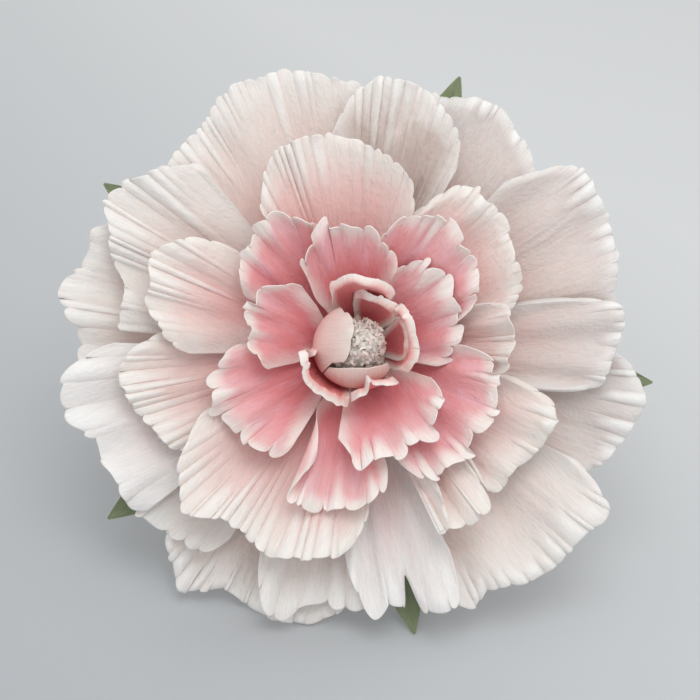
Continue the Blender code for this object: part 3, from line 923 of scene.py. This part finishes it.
@dataclass(frozen=True)
class Whorl:
    """Petals glued at one height on the core, which leave it at one angle.

    The cell is the aim for a column's width. Off the axis, the tips are shifted sideways.
    """

    name: str
    seat_height: float
    leaving_angle: float
    tip_height: float
    form: Form
    rim: Rim
    finish: CrepeFinish
    petals: tuple[Petal, ...]
    cell: float = 0.0014
    least_columns: int = 40
    most_columns: int = 136
    rows: int = 46
    claw_share: float = 0.78
    unevenness: float = 0.07
    bend_radius: float = CORE_TOP_RADIUS
    ragged: float = 0.030
    off_axis: Pair = (0.0, 0.0)

    def profile(self, petal: Petal, t: Grid) -> tuple[Grid, Grid, Grid, Grid]:
        """The petal's middle line, a quadratic curve from the core to the tip.

        Args:
            petal: The petal.
            t: Place along the petal, from 0 at the core to 1 at the tip.

        Returns:
            Radius and height, and the radius and height of the unit normal towards the viewer.
        """
        angle = math.radians(self.leaving_angle)
        leaving = np.array((math.cos(angle), math.sin(angle)))
        slope = (CORE_TOP_RADIUS - CORE_FOOT_RADIUS) / CORE_HEIGHT
        gap = SEAT_GAP + PAPER_THICKNESS / 2 * (leaving[1] + slope * leaving[0])
        start = np.array((CORE_FOOT_RADIUS + slope * self.seat_height + gap, self.seat_height))
        end = np.array((petal.reach, self.tip_height + petal.lift))
        middle = start + leaving * (self.form.belly * np.linalg.norm(end - start))
        s = t[..., None]
        place = start * (1 - s) ** 2 + middle * (2 * s * (1 - s)) + end * s**2
        run = (middle - start) * (2 * (1 - s)) + (end - middle) * (2 * s)
        run = run / np.linalg.norm(run, axis=-1, keepdims=True)
        return place[..., 0], place[..., 1], -run[..., 1], run[..., 0]

    def size(self, petal: Petal) -> Pair:
        """Measures a petal.

        Args:
            petal: The petal.

        Returns:
            The length of its middle line, and its width at the tip.
        """
        radius, height = self.profile(petal, np.linspace(0.0, 1.0, LINE_SAMPLES))[:2]
        length = float(np.hypot(np.diff(radius), np.diff(height)).sum())
        return length, 2 * math.radians(petal.half_span) * max(petal.reach, self.bend_radius)

    def outline(self, petal: Petal, style: RimStyle) -> tuple[Grid, Lobes, Grid, Grid]:
        """Cuts a petal's outline.

        Args:
            petal: The petal.
            style: How its rim is worked.

        Returns:
            The place across of each column, the lobes, and the shares of the middle line at which
            each column ends and at which the shortest lobe could end.
        """
        full, width = self.size(petal)
        phase = math.radians(petal.direction)
        columns = int(min(self.most_columns, max(self.least_columns, width / self.cell)))
        u, lobes = Lobes.cut_from(style, width, columns, petal.random)
        length = 1 + self.unevenness * (np.sin(SWINGS * u + phase) - math.sin(phase)) / 2
        corner = self.form.corner if petal.corner is None else petal.corner
        length = length * (1 - corner * np.abs(u) ** CORNER_POWER - petal.arch * u * u)
        length = length * (1 + petal.skew * u)
        metres = (u + 1) * width / 2
        for apart, share in RAGGED_CELLS:
            uneven = value_noise(metres / apart + RAGGED_SHIFT, 0 * u, petal.random)
            length = length * (1 + self.ragged * share * uneven)
        for cleft in petal.clefts:
            away = (u - cleft.place) / cleft.width
            length = length - cleft.depth / full * np.exp(-(away**2))
        return u, lobes, length - lobes.cut / full, length - style.drop * style.slit / full

    def relief(self, petal: Petal, u: Grid, t: Grid, lobes: Lobes, style: RimStyle) -> tuple[Grid, Grid]:
        """How far the sheet stands out of its plain curve towards the viewer.

        Args:
            petal: The petal.
            u: Place across it, from -1 to 1.
            t: Place along it, from 0 to 1.
            lobes: Its rim's lobes.
            style: How the rim is worked.

        Returns:
            The height of the relief in metres, and how far each point is up a flute, from 0 to 1.
        """
        random = petal.random
        form = self.form
        full, width = self.size(petal)
        free = smooth_step(*FREE_PART, t)
        reflex = form.reflex if petal.reflex is None else petal.reflex
        out = form.cup * u * u * t**CUP_POWER
        out = out - reflex * np.clip((t - REFLEX_START) / REFLEX_RUN, 0.0, None) ** 2
        wave = np.cos(math.pi * form.waves * (u + 1) + math.radians(petal.direction))
        out = out + wave * form.wave_depth * smooth_step(*WAVY_PART, t)
        out = out - petal.valley * (1 - np.abs(u)) ** VALLEY_POWER * free
        from_rim = (1 - t) * full
        flute = lobes.bump**FLUTE_POWER * lobes.strength * np.clip(1 - from_rim / lobes.run, 0.0, 1.0)
        out = out + style.flute_depth * flute
        edge = np.clip(1 - from_rim / (TILT_REACH * style.slit + TILT_MARGIN), 0.0, 1.0)
        out = out + (lobes.within - MIDDLE) * 2 * lobes.tilt * edge
        x = (u + 1) * width / 2
        y = t * full
        sway = value_noise(x / SWAY_CELL[0] + SWAY_SHIFT, y / SWAY_CELL[1], random)
        out = out + sway * SWAY_DEPTH * free * min(1.0, width / SWAY_WIDTH)
        patch = value_noise(x / PATCH_CELL[0], y / PATCH_CELL[1], random)
        rough = smooth_step(*PATCH_SPAN, patch) * petal.creases
        for wide, deep in RIDGES:
            place = x / wide + sway * RIDGE_SWAY + RIDGE_SHIFT
            ridge = 1 - 2 * np.abs(value_noise(place, y / RIDGE_RUN, random))
            creased = smooth_step(*CREASED_PART, t) * min(1.0, width / RIDGE_WIDTH)
            out = out + ridge * deep * rough * creased
        return out, np.clip(flute, 0.0, 1.0)

    def build(self, petal: Petal, number: int, bloom: BloomFrame) -> Object:
        """Builds one petal as a thickened sheet.

        Args:
            petal: The petal.
            number: Its number in the whorl.
            bloom: The frame that it is placed in.

        Returns:
            The finished object.
        """
        style = (petal.rim or self.rim).value
        full = self.size(petal)[0]
        phase = math.radians(petal.direction)
        u, lobes, length, tip = self.outline(petal, style)
        v = 1 - (1 - np.linspace(0.0, 1.0, self.rows + 1)[None, :]) ** ROW_POWER
        t = v * length

        radius, height, normal_r, normal_z = self.profile(petal, t)
        round_radius = np.maximum(radius, self.bend_radius)
        claw = self.claw_share + (1 - self.claw_share) * smooth_step(*CLAW_PART, t)
        across = u + self.unevenness * np.sin(math.pi * u + phase) * (1 - u * u) + petal.shift
        half = math.radians(petal.half_span) * claw * round_radius
        lateral = half * across
        out, crest = self.relief(petal, u, t, lobes, style)

        past = (t - tip) * full + style.curl_length + style.band
        reach, stand = bent(past, style.curl_length, lobes.curl)
        back = np.where(past > 0, reach - past, 0.0)
        out = out + np.where(past > 0, stand, 0.0)

        for fold, sign in ((petal.left, 1.0), (petal.right, -1.0)):
            if fold is None:
                continue
            excess = lateral * sign - fold.start * half
            rest = (1 - fold.start) * half if fold.bend is None else fold.bend
            turned = math.radians(fold.angle) * smooth_step(*FOLDED_PART, t)
            reach, stand = bent(excess, rest, turned)
            lateral = np.where(excess > 0, sign * (fold.start * half + reach), lateral)
            out = out + np.where(excess > 0, stand, 0.0)

        turn = lateral / round_radius
        ring = radius + normal_r * out + normal_z * back
        rise = height + normal_z * out - normal_r * back
        outwards = ring - round_radius * (1 - np.cos(turn))
        sideways = (round_radius + normal_r * out) * np.sin(turn)
        x = outwards * math.cos(phase) - sideways * math.sin(phase) + self.off_axis[0] * t
        y = outwards * math.sin(phase) + sideways * math.cos(phase) + self.off_axis[1] * t
        to_rim = np.minimum((length - t) * full, (1 - np.abs(u)) * half + SIDE_MARGIN)
        flat = np.stack((lateral, t * full), axis=-1)
        sheet = Sheet(np.stack((x, y, rise), axis=-1), t + 0 * u, to_rim, crest, flat)
        finish = petal.finish or self.finish
        return sheet.thickened(f"crepe_{self.name}_{number}", finish, bloom)


@dataclass(frozen=True)
class Sheet:
    """A grid of points and what its material reads at them.

    That is the place along, the distance to the rim, the height up a flute and the flat map.
    """

    points: Grid
    along: Grid
    to_rim: Grid
    crest: Grid
    flat: Grid

    def thickened(self, name: str, finish: Finish, bloom: BloomFrame) -> Object:
        """Makes the sheet an object of paper thickness.

        Args:
            name: The object's name.
            finish: Its finish.
            bloom: The frame that the points are given in.

        Returns:
            The object, with plain geometry.
        """
        shape = self.points.shape[:2]
        faces = quads(np.arange(shape[0] * shape[1]).reshape(shape))
        mesh = bloom.mesh(name, self.points, faces, finish.material())
        for key, values in (("along", self.along), ("to_rim", self.to_rim), ("crest", self.crest)):
            layer = mesh.attributes.new(key, "FLOAT", "POINT")
            spread = np.broadcast_to(values, shape).ravel()
            layer.data.foreach_set("value", spread.astype(np.float32))
        flat = self.flat.reshape(-1, 2)[faces.ravel()]
        mesh.uv_layers.new(name="sheet").data.foreach_set("uv", flat.ravel().astype(np.float32))
        obj = in_scene(mesh)
        solidify = obj.modifiers.new("paper", "SOLIDIFY")
        solidify.thickness = PAPER_THICKNESS
        solidify.offset = 0.0
        return plain(obj)


def hand_in(obj: Object, nodes: tuple[str, ...]) -> None:
    """Rides a finished piece on the body, in place of its solids.

    Args:
        obj: The piece.
        nodes: The solids that it stands for.
    """
    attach(obj, "root")
    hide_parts(*nodes)
    LOG.info("%s: %d faces, for %s", obj.name, len(obj.data.polygons), ", ".join(nodes))


# Whorls: name, height of the seat, leaving angle, height of the tips, form, rim, finish and petals.
# Petals: direction, half span, reach, and what is their own
WHORLS: tuple[Whorl, ...] = (
    Whorl("bud_petal", 0.0580, 47.0, 0.1250, BUD_FORM, Rim.PLAIN, BUD, (
        Petal(176, 54, 0.007, corner=0.03, creases=0.0, shift=-0.20, skew=0.05, arch=0.15),
        Petal(274, 52, 0.027, lift=-0.010, corner=0.02, creases=0.0, arch=0.21),
        Petal(62, 30, 0.036, lift=-0.006, rim=Rim.WAVY, finish=RING),
        Petal(8, 26, 0.040, rim=Rim.WAVY, finish=RING),
    ), bend_radius=0.032, off_axis=(0.006, 0.011), ragged=0.012, unevenness=0.02),
    Whorl("throat_petal", 0.0530, 40.0, 0.1450, THROAT_FORM, Rim.WAVY, THROAT, (
        Petal(5, 35, 0.052),
        Petal(83, 34, 0.054, left=Fold(0.75, 100.0)),
        Petal(222, 44, 0.052, right=Fold(0.58, 150.0, 0.012), skew=-0.10),
        Petal(293, 26, 0.047, valley=-0.010, clefts=(Cleft(-0.10, -0.020, 0.16),)),
    ), off_axis=(0.002, 0.011)),
    Whorl("heart_petal_front", 0.0480, 35.0, 0.1480, HEART_FRONT_FORM, Rim.FINGERED, ROSE, (
        Petal(93, 32, 0.122, left=Fold(0.80, 110.0, 0.006)),
        Petal(160, 32, 0.106, rim=Rim.SCALLOPED),
        Petal(301, 40, 0.103, rim=Rim.SCALLOPED),
    )),
    Whorl("heart_petal_back", 0.0430, 32.0, 0.1380, HEART_BACK_FORM, Rim.FINGERED, ROSE, (
        Petal(28, 38, 0.108, lift=-0.015, rim=Rim.SCALLOPED),
        Petal(207, 31, 0.138),
        Petal(262, 25, 0.146, rim=Rim.SCALLOPED, valley=0.012, right=Fold(0.60, 150.0, 0.008)),
    )),
    Whorl("frill_petal", 0.0380, 27.0, 0.1420, FRILL_FORM, Rim.SCALLOPED, ROSE, (
        Petal(127, 26, 0.152, rim=Rim.FINGERED),
        Petal(47, 31, 0.148),
        Petal(328, 35, 0.140),
    )),
    Whorl("cup_petal_front", 0.0330, 20.0, 0.1350, CUP_FORM, Rim.FLUTED, BLUSH, (
        Petal(97, 31, 0.214, left=Fold(0.78, 115.0, 0.010)),
        Petal(160, 21, 0.208),
        Petal(239, 37, 0.206),
        Petal(5, 17, 0.169, reflex=-0.012),
        Petal(301, 15, 0.202, right=Fold(0.35, 165.0, 0.005)),
    )),
    Whorl("cup_petal_back", 0.0280, 16.0, 0.1200, CUP_FORM, Rim.FLUTED, BLUSH, (
        Petal(192, 21, 0.223),
        Petal(40, 27, 0.200, rim=Rim.RUFFLED),
        Petal(330, 21, 0.206, rim=Rim.RUFFLED, right=Fold(0.72, 150.0, 0.004)),
    )),
    Whorl("guard_petal_front", 0.0230, 11.0, 0.1050, GUARD_FORM, Rim.SILK, IVORY, (
        Petal(152, 23, 0.268, rim=Rim.FLUTED, corner=0.09, skew=-0.06),
        Petal(198, 20, 0.279, finish=BLEACHED, corner=0.11),
        Petal(282, 14, 0.260, finish=BLEACHED, skew=0.04, clefts=(Cleft(0.15, 0.042, 0.08),)),
        Petal(2, 14, 0.270, finish=PAINTED_SHADE_IVORY, corner=0.34, rim=Rim.RUFFLED),
        Petal(78, 18, 0.281, rim=Rim.FLUTED, finish=SEPAL_SHADOW_IVORY, creases=2.2),
    )),
    Whorl("guard_petal_middle", 0.0180, 8.0, 0.0900, GUARD_FORM, Rim.SILK, IVORY, (
        Petal(111, 29, 0.294, rim=Rim.FLUTED, corner=0.10, skew=0.03),
        Petal(220, 17, 0.270, lift=-0.004),
        Petal(264, 19, 0.256, skew=-0.03),
        Petal(310, 24, 0.288, rim=Rim.RUFFLED, skew=0.04),
        Petal(26, 22, 0.294, rim=Rim.RUFFLED, finish=PAINTED_SHADE_IVORY),
    )),
    Whorl("guard_petal_back", 0.0130, 5.0, 0.0760, GUARD_FORM, Rim.SILK, IVORY, (
        Petal(172, 28, 0.291, corner=0.12),
        Petal(245, 26, 0.282, lift=-0.011, rim=Rim.RUFFLED),
        Petal(339, 24, 0.285, lift=-0.007, rim=Rim.RUFFLED, skew=0.04, finish=PAINTED_SHADE_IVORY),
        Petal(58, 26, 0.287, lift=-0.010, rim=Rim.RUFFLED, finish=PAINTED_SHADE_IVORY),
    )),
)


@dataclass(frozen=True)
class Sepals:
    """Five pointed green leaves behind the bloom, each with a keel.

    Each leaf has its direction and reach. Cells are in metres across and in shares of the length.
    """

    bloom: BloomFrame
    seat_height: float = 0.0050
    leaving_angle: float = 2.0
    tip_height: float = 0.0500
    half_width: float = 0.0320
    claw_share: float = 0.25
    claw_part: Pair = (0.0, 0.6)
    point_share: float = 0.97
    point_power: int = 5
    keel: float = 0.0060
    keel_part: Pair = (0.0, 0.3)
    grain_cells: tuple[float, int] = (0.006, 5)
    grain_depth: float = 0.0004
    sway_cells: tuple[float, int] = (0.025, 6)
    sway_depth: float = 0.0012
    sway_part: Pair = (0.2, 0.8)
    leaves: tuple[Pair, ...] = (
        (146.0, 0.308), (68.5, 0.3034), (-6.0, 0.3111), (-77.5, 0.2981), (-145.5, 0.3049),
    )
    columns: int = 40
    rows: int = 90

    def build(self, direction: float, reach: float, number: int) -> Object:
        """Builds one sepal.

        Args:
            direction: The way that it points.
            reach: Its tip's distance from the bloom's axis.
            number: Its number.

        Returns:
            The finished object.
        """
        random = np.random.default_rng(number)
        whorl = Whorl(
            "sepal", self.seat_height, self.leaving_angle, self.tip_height, SEPAL_FORM, Rim.PLAIN, LEAF, ()
        )
        u = np.linspace(-1.0, 1.0, self.columns + 1)[:, None]
        v = np.linspace(0.0, 1.0, self.rows + 1)[None, :]
        radius, height, normal_r, normal_z = whorl.profile(Petal(direction, 0.0, reach), v + 0 * u)
        shape = self.claw_share + (1 - self.claw_share) * smooth_step(*self.claw_part, v)
        shape = shape * (1 - self.point_share * v**self.point_power)
        lateral = u * self.half_width * shape
        metres = (u + 1) * self.half_width
        out = self.keel * np.abs(u) * smooth_step(*self.keel_part, v) * shape
        cell, rows = self.grain_cells
        out = out + value_noise(metres / cell, v * rows, random) * self.grain_depth
        cell, rows = self.sway_cells
        sway = value_noise(metres / cell, v * rows, random)
        out = out + sway * self.sway_depth * smooth_step(*self.sway_part, v)
        ring = radius + normal_r * out
        angle = math.radians(direction) + lateral / radius
        points = np.stack((ring * np.cos(angle), ring * np.sin(angle), height + normal_z * out), axis=-1)
        to_rim = (1 - np.abs(u)) * self.half_width * shape
        flat = np.stack((lateral, v * reach + 0 * u), axis=-1)
        sheet = Sheet(points, v + 0 * u, to_rim, 0 * to_rim, flat)
        return sheet.thickened(f"crepe_sepal_{number}", LEAF, self.bloom)

    def dress(self) -> None:
        """Builds all sepals in place of their solids."""
        for number, (direction, reach) in enumerate(self.leaves, 1):
            hand_in(self.build(direction, reach, number), (f"sepal_{number}",))


def lathe(name: str, line: Grid, around: int, bloom: BloomFrame, pleats: Grid | float = 0.0) -> Object:
    """Turns a line of (radius, height) round the bloom's axis, in green crepe.

    Args:
        name: The object's name.
        line: The line's points, one row each.
        around: Number of faces around the axis.
        bloom: The frame that it is placed in.
        pleats: How far it stands out at each place around it, one row each.

    Returns:
        The object, open at the line's ends.
    """
    turn = full_turn(around)
    radius, height = line.T
    ring = radius[None, :] + pleats + 0 * turn
    rise = np.broadcast_to(height, ring.shape)
    points = np.stack((ring * np.cos(turn), ring * np.sin(turn), rise), axis=-1)
    index = np.arange(ring.size).reshape(ring.shape)
    faces = quads(np.vstack((index, index[:1])))
    return in_scene(bloom.mesh(name, points, faces, LEAF.material()))


def full_turn(around: int) -> Grid:
    """Even angles round an axis, one row each."""
    return np.linspace(0.0, 2 * math.pi, around, endpoint=False)[:, None]


@dataclass(frozen=True)
class Strip:
    """A small curled and crumpled strip of the stamens, which stands on its lower end.

    Lengths are in metres. Widths and depths are shares of its width or length, and turns are in
    radians over its length or width.
    """

    length: float = 0.0062
    width: float = 0.0068
    sunk: float = 0.0012
    segments: tuple[int, int] = (3, 4)
    curl: float = 1.9
    foot_width: float = 0.55
    belly_width: float = 0.65
    belly_turn: float = 2.6
    crumple: float = 0.22
    crumple_turns: Pair = (9.0, 4.0)
    crumple_share: float = 0.3
    trough: float = 0.45
    wave: float = 0.12
    wave_turn: float = 7.0

    def build(self) -> Object:
        """Bends and crumples the strip.

        Returns:
            The strip, which isn't linked to the scene.
        """
        bm = bmesh.new()
        columns, rows = self.segments
        bmesh.ops.create_grid(bm, x_segments=columns, y_segments=rows, size=MIDDLE)
        for vertex in bm.verts:
            x, y = vertex.co.x, vertex.co.y + MIDDLE
            curl = self.curl * y
            crumple = self.crumple * math.cos(self.crumple_turns[0] * x + self.crumple_turns[1] * y)
            lean = (1 - math.cos(curl)) / self.curl + crumple * self.crumple_share + self.trough * x * x
            rise = math.sin(curl) / self.curl + self.wave * math.cos(self.wave_turn * x)
            vertex.co = (
                x * self.width * (self.foot_width + self.belly_width * math.sin(self.belly_turn * y)),
                self.length * lean,
                self.length * rise - self.sunk,
            )
        mesh = mesh_of(bm, "stamen_strip")
        mesh.shade_smooth()
        return bpy.data.objects.new(mesh.name, mesh)


@dataclass(frozen=True)
class Stamens:
    """A dome of crumpled paper, covered with small curled strips and dark specks.

    The lump terms are shares of the lump depth. Strips and specks tilt by up to the angles of the
    tilt, in radians about each axis.
    """

    bloom: BloomFrame
    radius: float = 0.0270
    half_height: float = 0.0440
    height: float = 0.0783
    flat: float = 0.0158
    lean: Pair = (0.0110, 0.0095)
    subdivisions: int = 5
    lump_size: float = 0.0085
    lump_depth: float = 0.0042
    lump_top: float = 0.7
    lump_fall: float = 1.3
    rough_share: float = 0.35
    rough_scale: float = 500.0
    strip_spacing: float = 0.0040
    strip_sizes: Pair = (0.55, 1.25)
    speck_radius: float = 0.00080
    speck_spacing: float = 0.0078
    speck_sizes: Pair = (0.5, 1.4)
    most_in_square_metre: float = 400000.0
    tilt: tuple[float, float, float] = (0.7, 0.7, 3.1)
    seed: int = 4

    def dome(self) -> Object:
        """Crumples the dome.

        Returns:
            The dome.
        """
        bm = bmesh.new()
        bmesh.ops.create_icosphere(bm, subdivisions=self.subdivisions, radius=1.0)
        for vertex in bm.verts:
            x, y, z = vertex.co
            spot = Vector((x * self.radius, y * self.radius, z * self.half_height))
            near = noise.voronoi(spot / self.lump_size)[0]
            rough = self.rough_share * noise.noise(spot * self.rough_scale)
            lump = self.lump_depth * (self.lump_top - near[0] * self.lump_fall + rough)
            spot = spot + vertex.co * lump
            spot.z = max(spot.z, -self.flat)
            climb = (spot.z + self.flat) / (self.half_height + self.flat)
            spot += Vector((self.lean[0] * climb, self.lean[1] * climb, self.height))
            vertex.co = self.bloom.matrix @ spot
        return in_scene(mesh_of(bm, "crepe_stamens"))

    def build(self) -> Object:
        """Covers the dome with strips and specks.

        Returns:
            The finished object.
        """
        obj = self.dome()
        pattern = Pattern("stamen_strips")
        paper = pattern.value("Paper", "Material", STAMEN.material())
        dark = pattern.value("Dark", "Material", POLLEN.material())
        strip = pattern.value("Strip", "Object", Strip().build())
        spacing = pattern.value("Strip Spacing", "Float", self.strip_spacing)
        speck_spacing = pattern.value("Speck Spacing", "Float", self.speck_spacing)
        seed = pattern.value("Seed", "Int", self.seed)
        info = pattern.add("GeometryNodeObjectInfo", {"Object": strip}).outputs["Geometry"]
        ball = {"Radius": self.speck_radius, "Subdivisions": 1}
        bead = pattern.add("GeometryNodeMeshIcoSphere", ball).outputs["Mesh"]
        least_tilt = tuple(-angle for angle in self.tilt)
        parts = [pattern.inlet.outputs["Geometry"]]
        for shape, apart, (least, most) in (
            (info, spacing, self.strip_sizes),
            (bead, speck_spacing, self.speck_sizes),
        ):
            ground = pattern.add("GeometryNodeRealizeInstances", {"Geometry": parts[-1]}).outputs[0]
            density = {"Distance Min": apart, "Density Max": self.most_in_square_metre}
            spread = pattern.add(
                "GeometryNodeDistributePointsOnFaces",
                {"Mesh": ground, **density, "Seed": seed},
                distribute_method="POISSON",
            ).outputs
            turn = pattern.add(
                "FunctionNodeRandomValue",
                {0: least_tilt, 1: self.tilt, "Seed": seed},
                data_type="FLOAT_VECTOR",
            ).outputs[0]
            turned = pattern.add(
                "FunctionNodeRotateRotation",
                {"Rotation": spread["Rotation"], "Rotate By": turn},
                rotation_space="LOCAL",
            ).outputs[0]
            sizes = {2: least, 3: most, "Seed": seed}
            size = pattern.add("FunctionNodeRandomValue", sizes, data_type="FLOAT").outputs[1]
            placing = {"Instance": shape, "Rotation": turned, "Scale": size}
            placed = pattern.add("GeometryNodeInstanceOnPoints", {"Points": spread["Points"], **placing})
            parts.append(placed.outputs[0])
        dome, strips, specks = parts
        papers = pattern.painted(pattern.joined(strips, dome), paper)
        return pattern.finish(pattern.joined(pattern.painted(specks, dark), papers), obj)


@dataclass(frozen=True)
class Stem:
    """The stem's crepe tape, wound in a spiral, and the pleated collar under the bloom."""

    bloom: BloomFrame
    wrap_radius: float = 0.0059
    wrap_inset: float = 0.0004
    wrap_top: float = -0.001
    wrap_faces: int = 48
    tape_width: float = 0.0140
    tape_step: float = 0.0095
    tape_thickness: float = 0.0003
    tape_lean: float = 0.00012
    tape_points: int = 4
    steps_in_turn: int = 28
    collar: tuple[Pair, ...] = (
        (0.0190, -0.0004), (0.0188, -0.0030), (0.0177, -0.0063), (0.0150, -0.0120), (0.0109, -0.0183),
        (0.0095, -0.0243), (0.0066, -0.0243),
    )
    collar_faces: int = 132
    pleats: int = 22
    pleat_depth: float = 0.0006
    pleat_sway: float = 0.8
    pleat_swings: int = 3

    def wrapping(self) -> Object:
        """Winds the tape round the dowel, from the bloom down to the stem's end.

        Returns:
            The finished object.
        """
        inner = self.wrap_radius - self.wrap_inset
        line = np.array((
            (inner, -STEM_LENGTH), (self.wrap_radius, -STEM_LENGTH),
            (self.wrap_radius, self.wrap_top), (inner, self.wrap_top),
        ))
        tube = lathe("crepe_stem_wrap", line, self.wrap_faces, self.bloom)
        pattern = Pattern("wound_tape")
        paper = pattern.value("Paper", "Material", LEAF.material())
        wound = STEM_LENGTH - self.tape_width
        width = pattern.value("Tape Width", "Float", self.tape_width)
        turns = pattern.value("Turns", "Float", wound / self.tape_step)
        radius = pattern.value("Radius", "Float", self.wrap_radius + self.tape_thickness)
        height = pattern.value("Height", "Float", wound)
        spiral = pattern.add("GeometryNodeCurveSpiral", {
            "Resolution": self.steps_in_turn, "Rotations": turns,
            "Start Radius": radius, "End Radius": radius, "Height": height,
        })
        upright = pattern.add("GeometryNodeSetCurveNormal", {"Curve": spiral.outputs[0]}, mode="Z_UP")
        half = pattern.add("ShaderNodeMath", {0: width, 1: MIDDLE}, operation="MULTIPLY").outputs[0]
        low = pattern.add("ShaderNodeMath", {0: half, 1: -1.0}, operation="MULTIPLY").outputs[0]
        start = pattern.add("ShaderNodeCombineXYZ", {0: -self.tape_lean, 1: low}).outputs[0]
        stop = pattern.add("ShaderNodeCombineXYZ", {0: self.tape_lean, 1: half}).outputs[0]
        across = pattern.add("GeometryNodeCurvePrimitiveLine", {"Start": start, "End": stop})
        finer = pattern.add(
            "GeometryNodeResampleCurve", {"Curve": across.outputs[0], "Count": self.tape_points}
        )
        tape = pattern.add(
            "GeometryNodeCurveToMesh", {"Curve": upright.outputs[0], "Profile Curve": finer.outputs[0]}
        )
        turn = self.bloom.matrix.to_euler()
        low_end = self.bloom.matrix @ Vector((0.0, 0.0, -STEM_LENGTH + self.tape_width / 2))
        placed = pattern.add(
            "GeometryNodeTransform",
            {"Geometry": tape.outputs[0], "Translation": tuple(low_end), "Rotation": tuple(turn)},
        )
        painted = pattern.painted(placed.outputs[0], paper)
        return pattern.finish(pattern.joined(painted, pattern.inlet.outputs["Geometry"]), tube)

    def dress(self, nodes: dict[str, Object]) -> None:
        """Builds the wrapping and the collar, and gives the core and the dowel their finishes.

        Args:
            nodes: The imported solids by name.
        """
        hand_in(self.wrapping(), ("stem_wrap",))
        turn = full_turn(self.collar_faces)
        pleated = self.pleats * turn + self.pleat_sway * np.sin(self.pleat_swings * turn)
        pleats = self.pleat_depth * np.cos(pleated)
        line = np.array(self.collar)
        collar = lathe("crepe_stem_collar", line, self.collar_faces, self.bloom, pleats)
        hand_in(collar, ("stem_collar",))
        for name, finish in (("petal_core", CORE), ("stem_dowel", WOOD)):
            nodes[name].data.materials.clear()
            nodes[name].data.materials.append(finish.material())


@dataclass(frozen=True)
class Studio:
    """Pale floor with painted light, soft light and the camera that looks into the bloom."""

    bloom: BloomFrame
    key_power: float = 14.6
    key_size: float = 1.2
    key_colour: Colour = (1.0, 0.985, 0.975)
    key_direction: tuple[float, float, float] = (0.10, 0.50, 0.86)
    key_distance: float = 2.2
    sky_strength: float = 0.835
    sky_colour: Colour = (1.0, 0.985, 0.985)
    floor_height: float = -0.002
    floor_side: float = 40.0
    # Floor: painted shade to painted light across a span of the view, and its roughness
    floor_painted_shade: Colour = (0.41, 0.44, 0.465)
    floor_painted_light: Colour = (0.70, 0.73, 0.74)
    floor_painted_light_span: Pair = (-0.9, 1.1)
    floor_roughness: float = 0.9
    sensor_width: float = 36.0

    def floor(self) -> None:
        """A wide floor, with painted light: its colour lightens to the upper right of the view."""
        bm = bmesh.new()
        bmesh.ops.create_grid(bm, x_segments=1, y_segments=1, size=self.floor_side / 2)
        floor = in_scene(mesh_of(bm, "floor"))
        floor.location.z = self.floor_height
        nodes = Nodes("floor_paint")
        place = nodes.add("ShaderNodeTexCoord").outputs["Object"]
        split = nodes.add("ShaderNodeSeparateXYZ", {0: place})
        slant = nodes.math("ADD", split.outputs[0], split.outputs[1])
        share = nodes.span(slant, self.floor_painted_light_span, (0.0, 1.0))
        # Painted light: darker to the lower left of the view, lighter to the upper right
        paint = nodes.ramp(share, ((0.0, self.floor_painted_shade), (1.0, self.floor_painted_light)))
        nodes.link(paint, "Base Color")
        nodes.shader.inputs["Roughness"].default_value = self.floor_roughness
        floor.data.materials.append(nodes.material)

    def light(self) -> None:
        """Hangs one large soft lamp above the bloom and in front of it, under a pale sky."""
        scene = bpy.context.scene
        lamp = bpy.data.lights.new("soft_box", "AREA")
        lamp.energy = self.key_power
        lamp.size = self.key_size
        lamp.color = self.key_colour
        key = bpy.data.objects.new("soft_box", lamp)
        towards = Vector(self.key_direction).normalized()
        key.location = self.bloom.matrix @ (towards * self.key_distance)
        facing = self.bloom.matrix.to_3x3() @ towards
        key.rotation_euler = facing.to_track_quat("Z", "Y").to_euler()
        scene.collection.objects.link(key)
        world = bpy.data.worlds.new("pale_sky")
        world.use_nodes = True
        sky = world.node_tree.nodes["Background"]
        sky.inputs["Color"].default_value = (*self.sky_colour, 1.0)
        sky.inputs["Strength"].default_value = self.sky_strength
        scene.world = world
        scene.view_settings.view_transform = "Standard"

    def camera(self) -> None:
        """Looks down the bloom's axis with the bloom where the photograph has it."""
        lens = bpy.data.cameras.new("view")
        lens.sensor_width = self.sensor_width
        lens.lens = self.sensor_width * CAMERA_DISTANCE / (PHOTO_SIDE * METRES_PER_PIXEL)
        camera = bpy.data.objects.new("view", lens)
        right = (PHOTO_SIDE / 2 - PHOTO_MIDDLE[0]) * METRES_PER_PIXEL
        up = (PHOTO_MIDDLE[1] - PHOTO_SIDE / 2) * METRES_PER_PIXEL
        shift = Matrix.Translation((right, up, CAMERA_PLANE + CAMERA_DISTANCE))
        camera.matrix_world = self.bloom.matrix @ shift
        bpy.context.scene.collection.objects.link(camera)
        bpy.context.scene.camera = camera


def main() -> None:
    """Builds the peony piece by piece, then the studio round it."""
    logging.basicConfig(level=logging.INFO, format="%(message)s")
    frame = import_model()
    bloom = BloomFrame.read(frame["nodes"])
    for whorl in WHORLS:
        for number, petal in enumerate(whorl.petals, 1):
            hand_in(whorl.build(petal, number, bloom), (f"{whorl.name}_{number}",))
    Sepals(bloom).dress()
    hand_in(Stamens(bloom).build(), ("stamen_cluster",))
    Stem(bloom).dress(frame["nodes"])
    studio = Studio(bloom)
    studio.floor()
    studio.light()
    studio.camera()


if __name__ == "__main__":
    main()
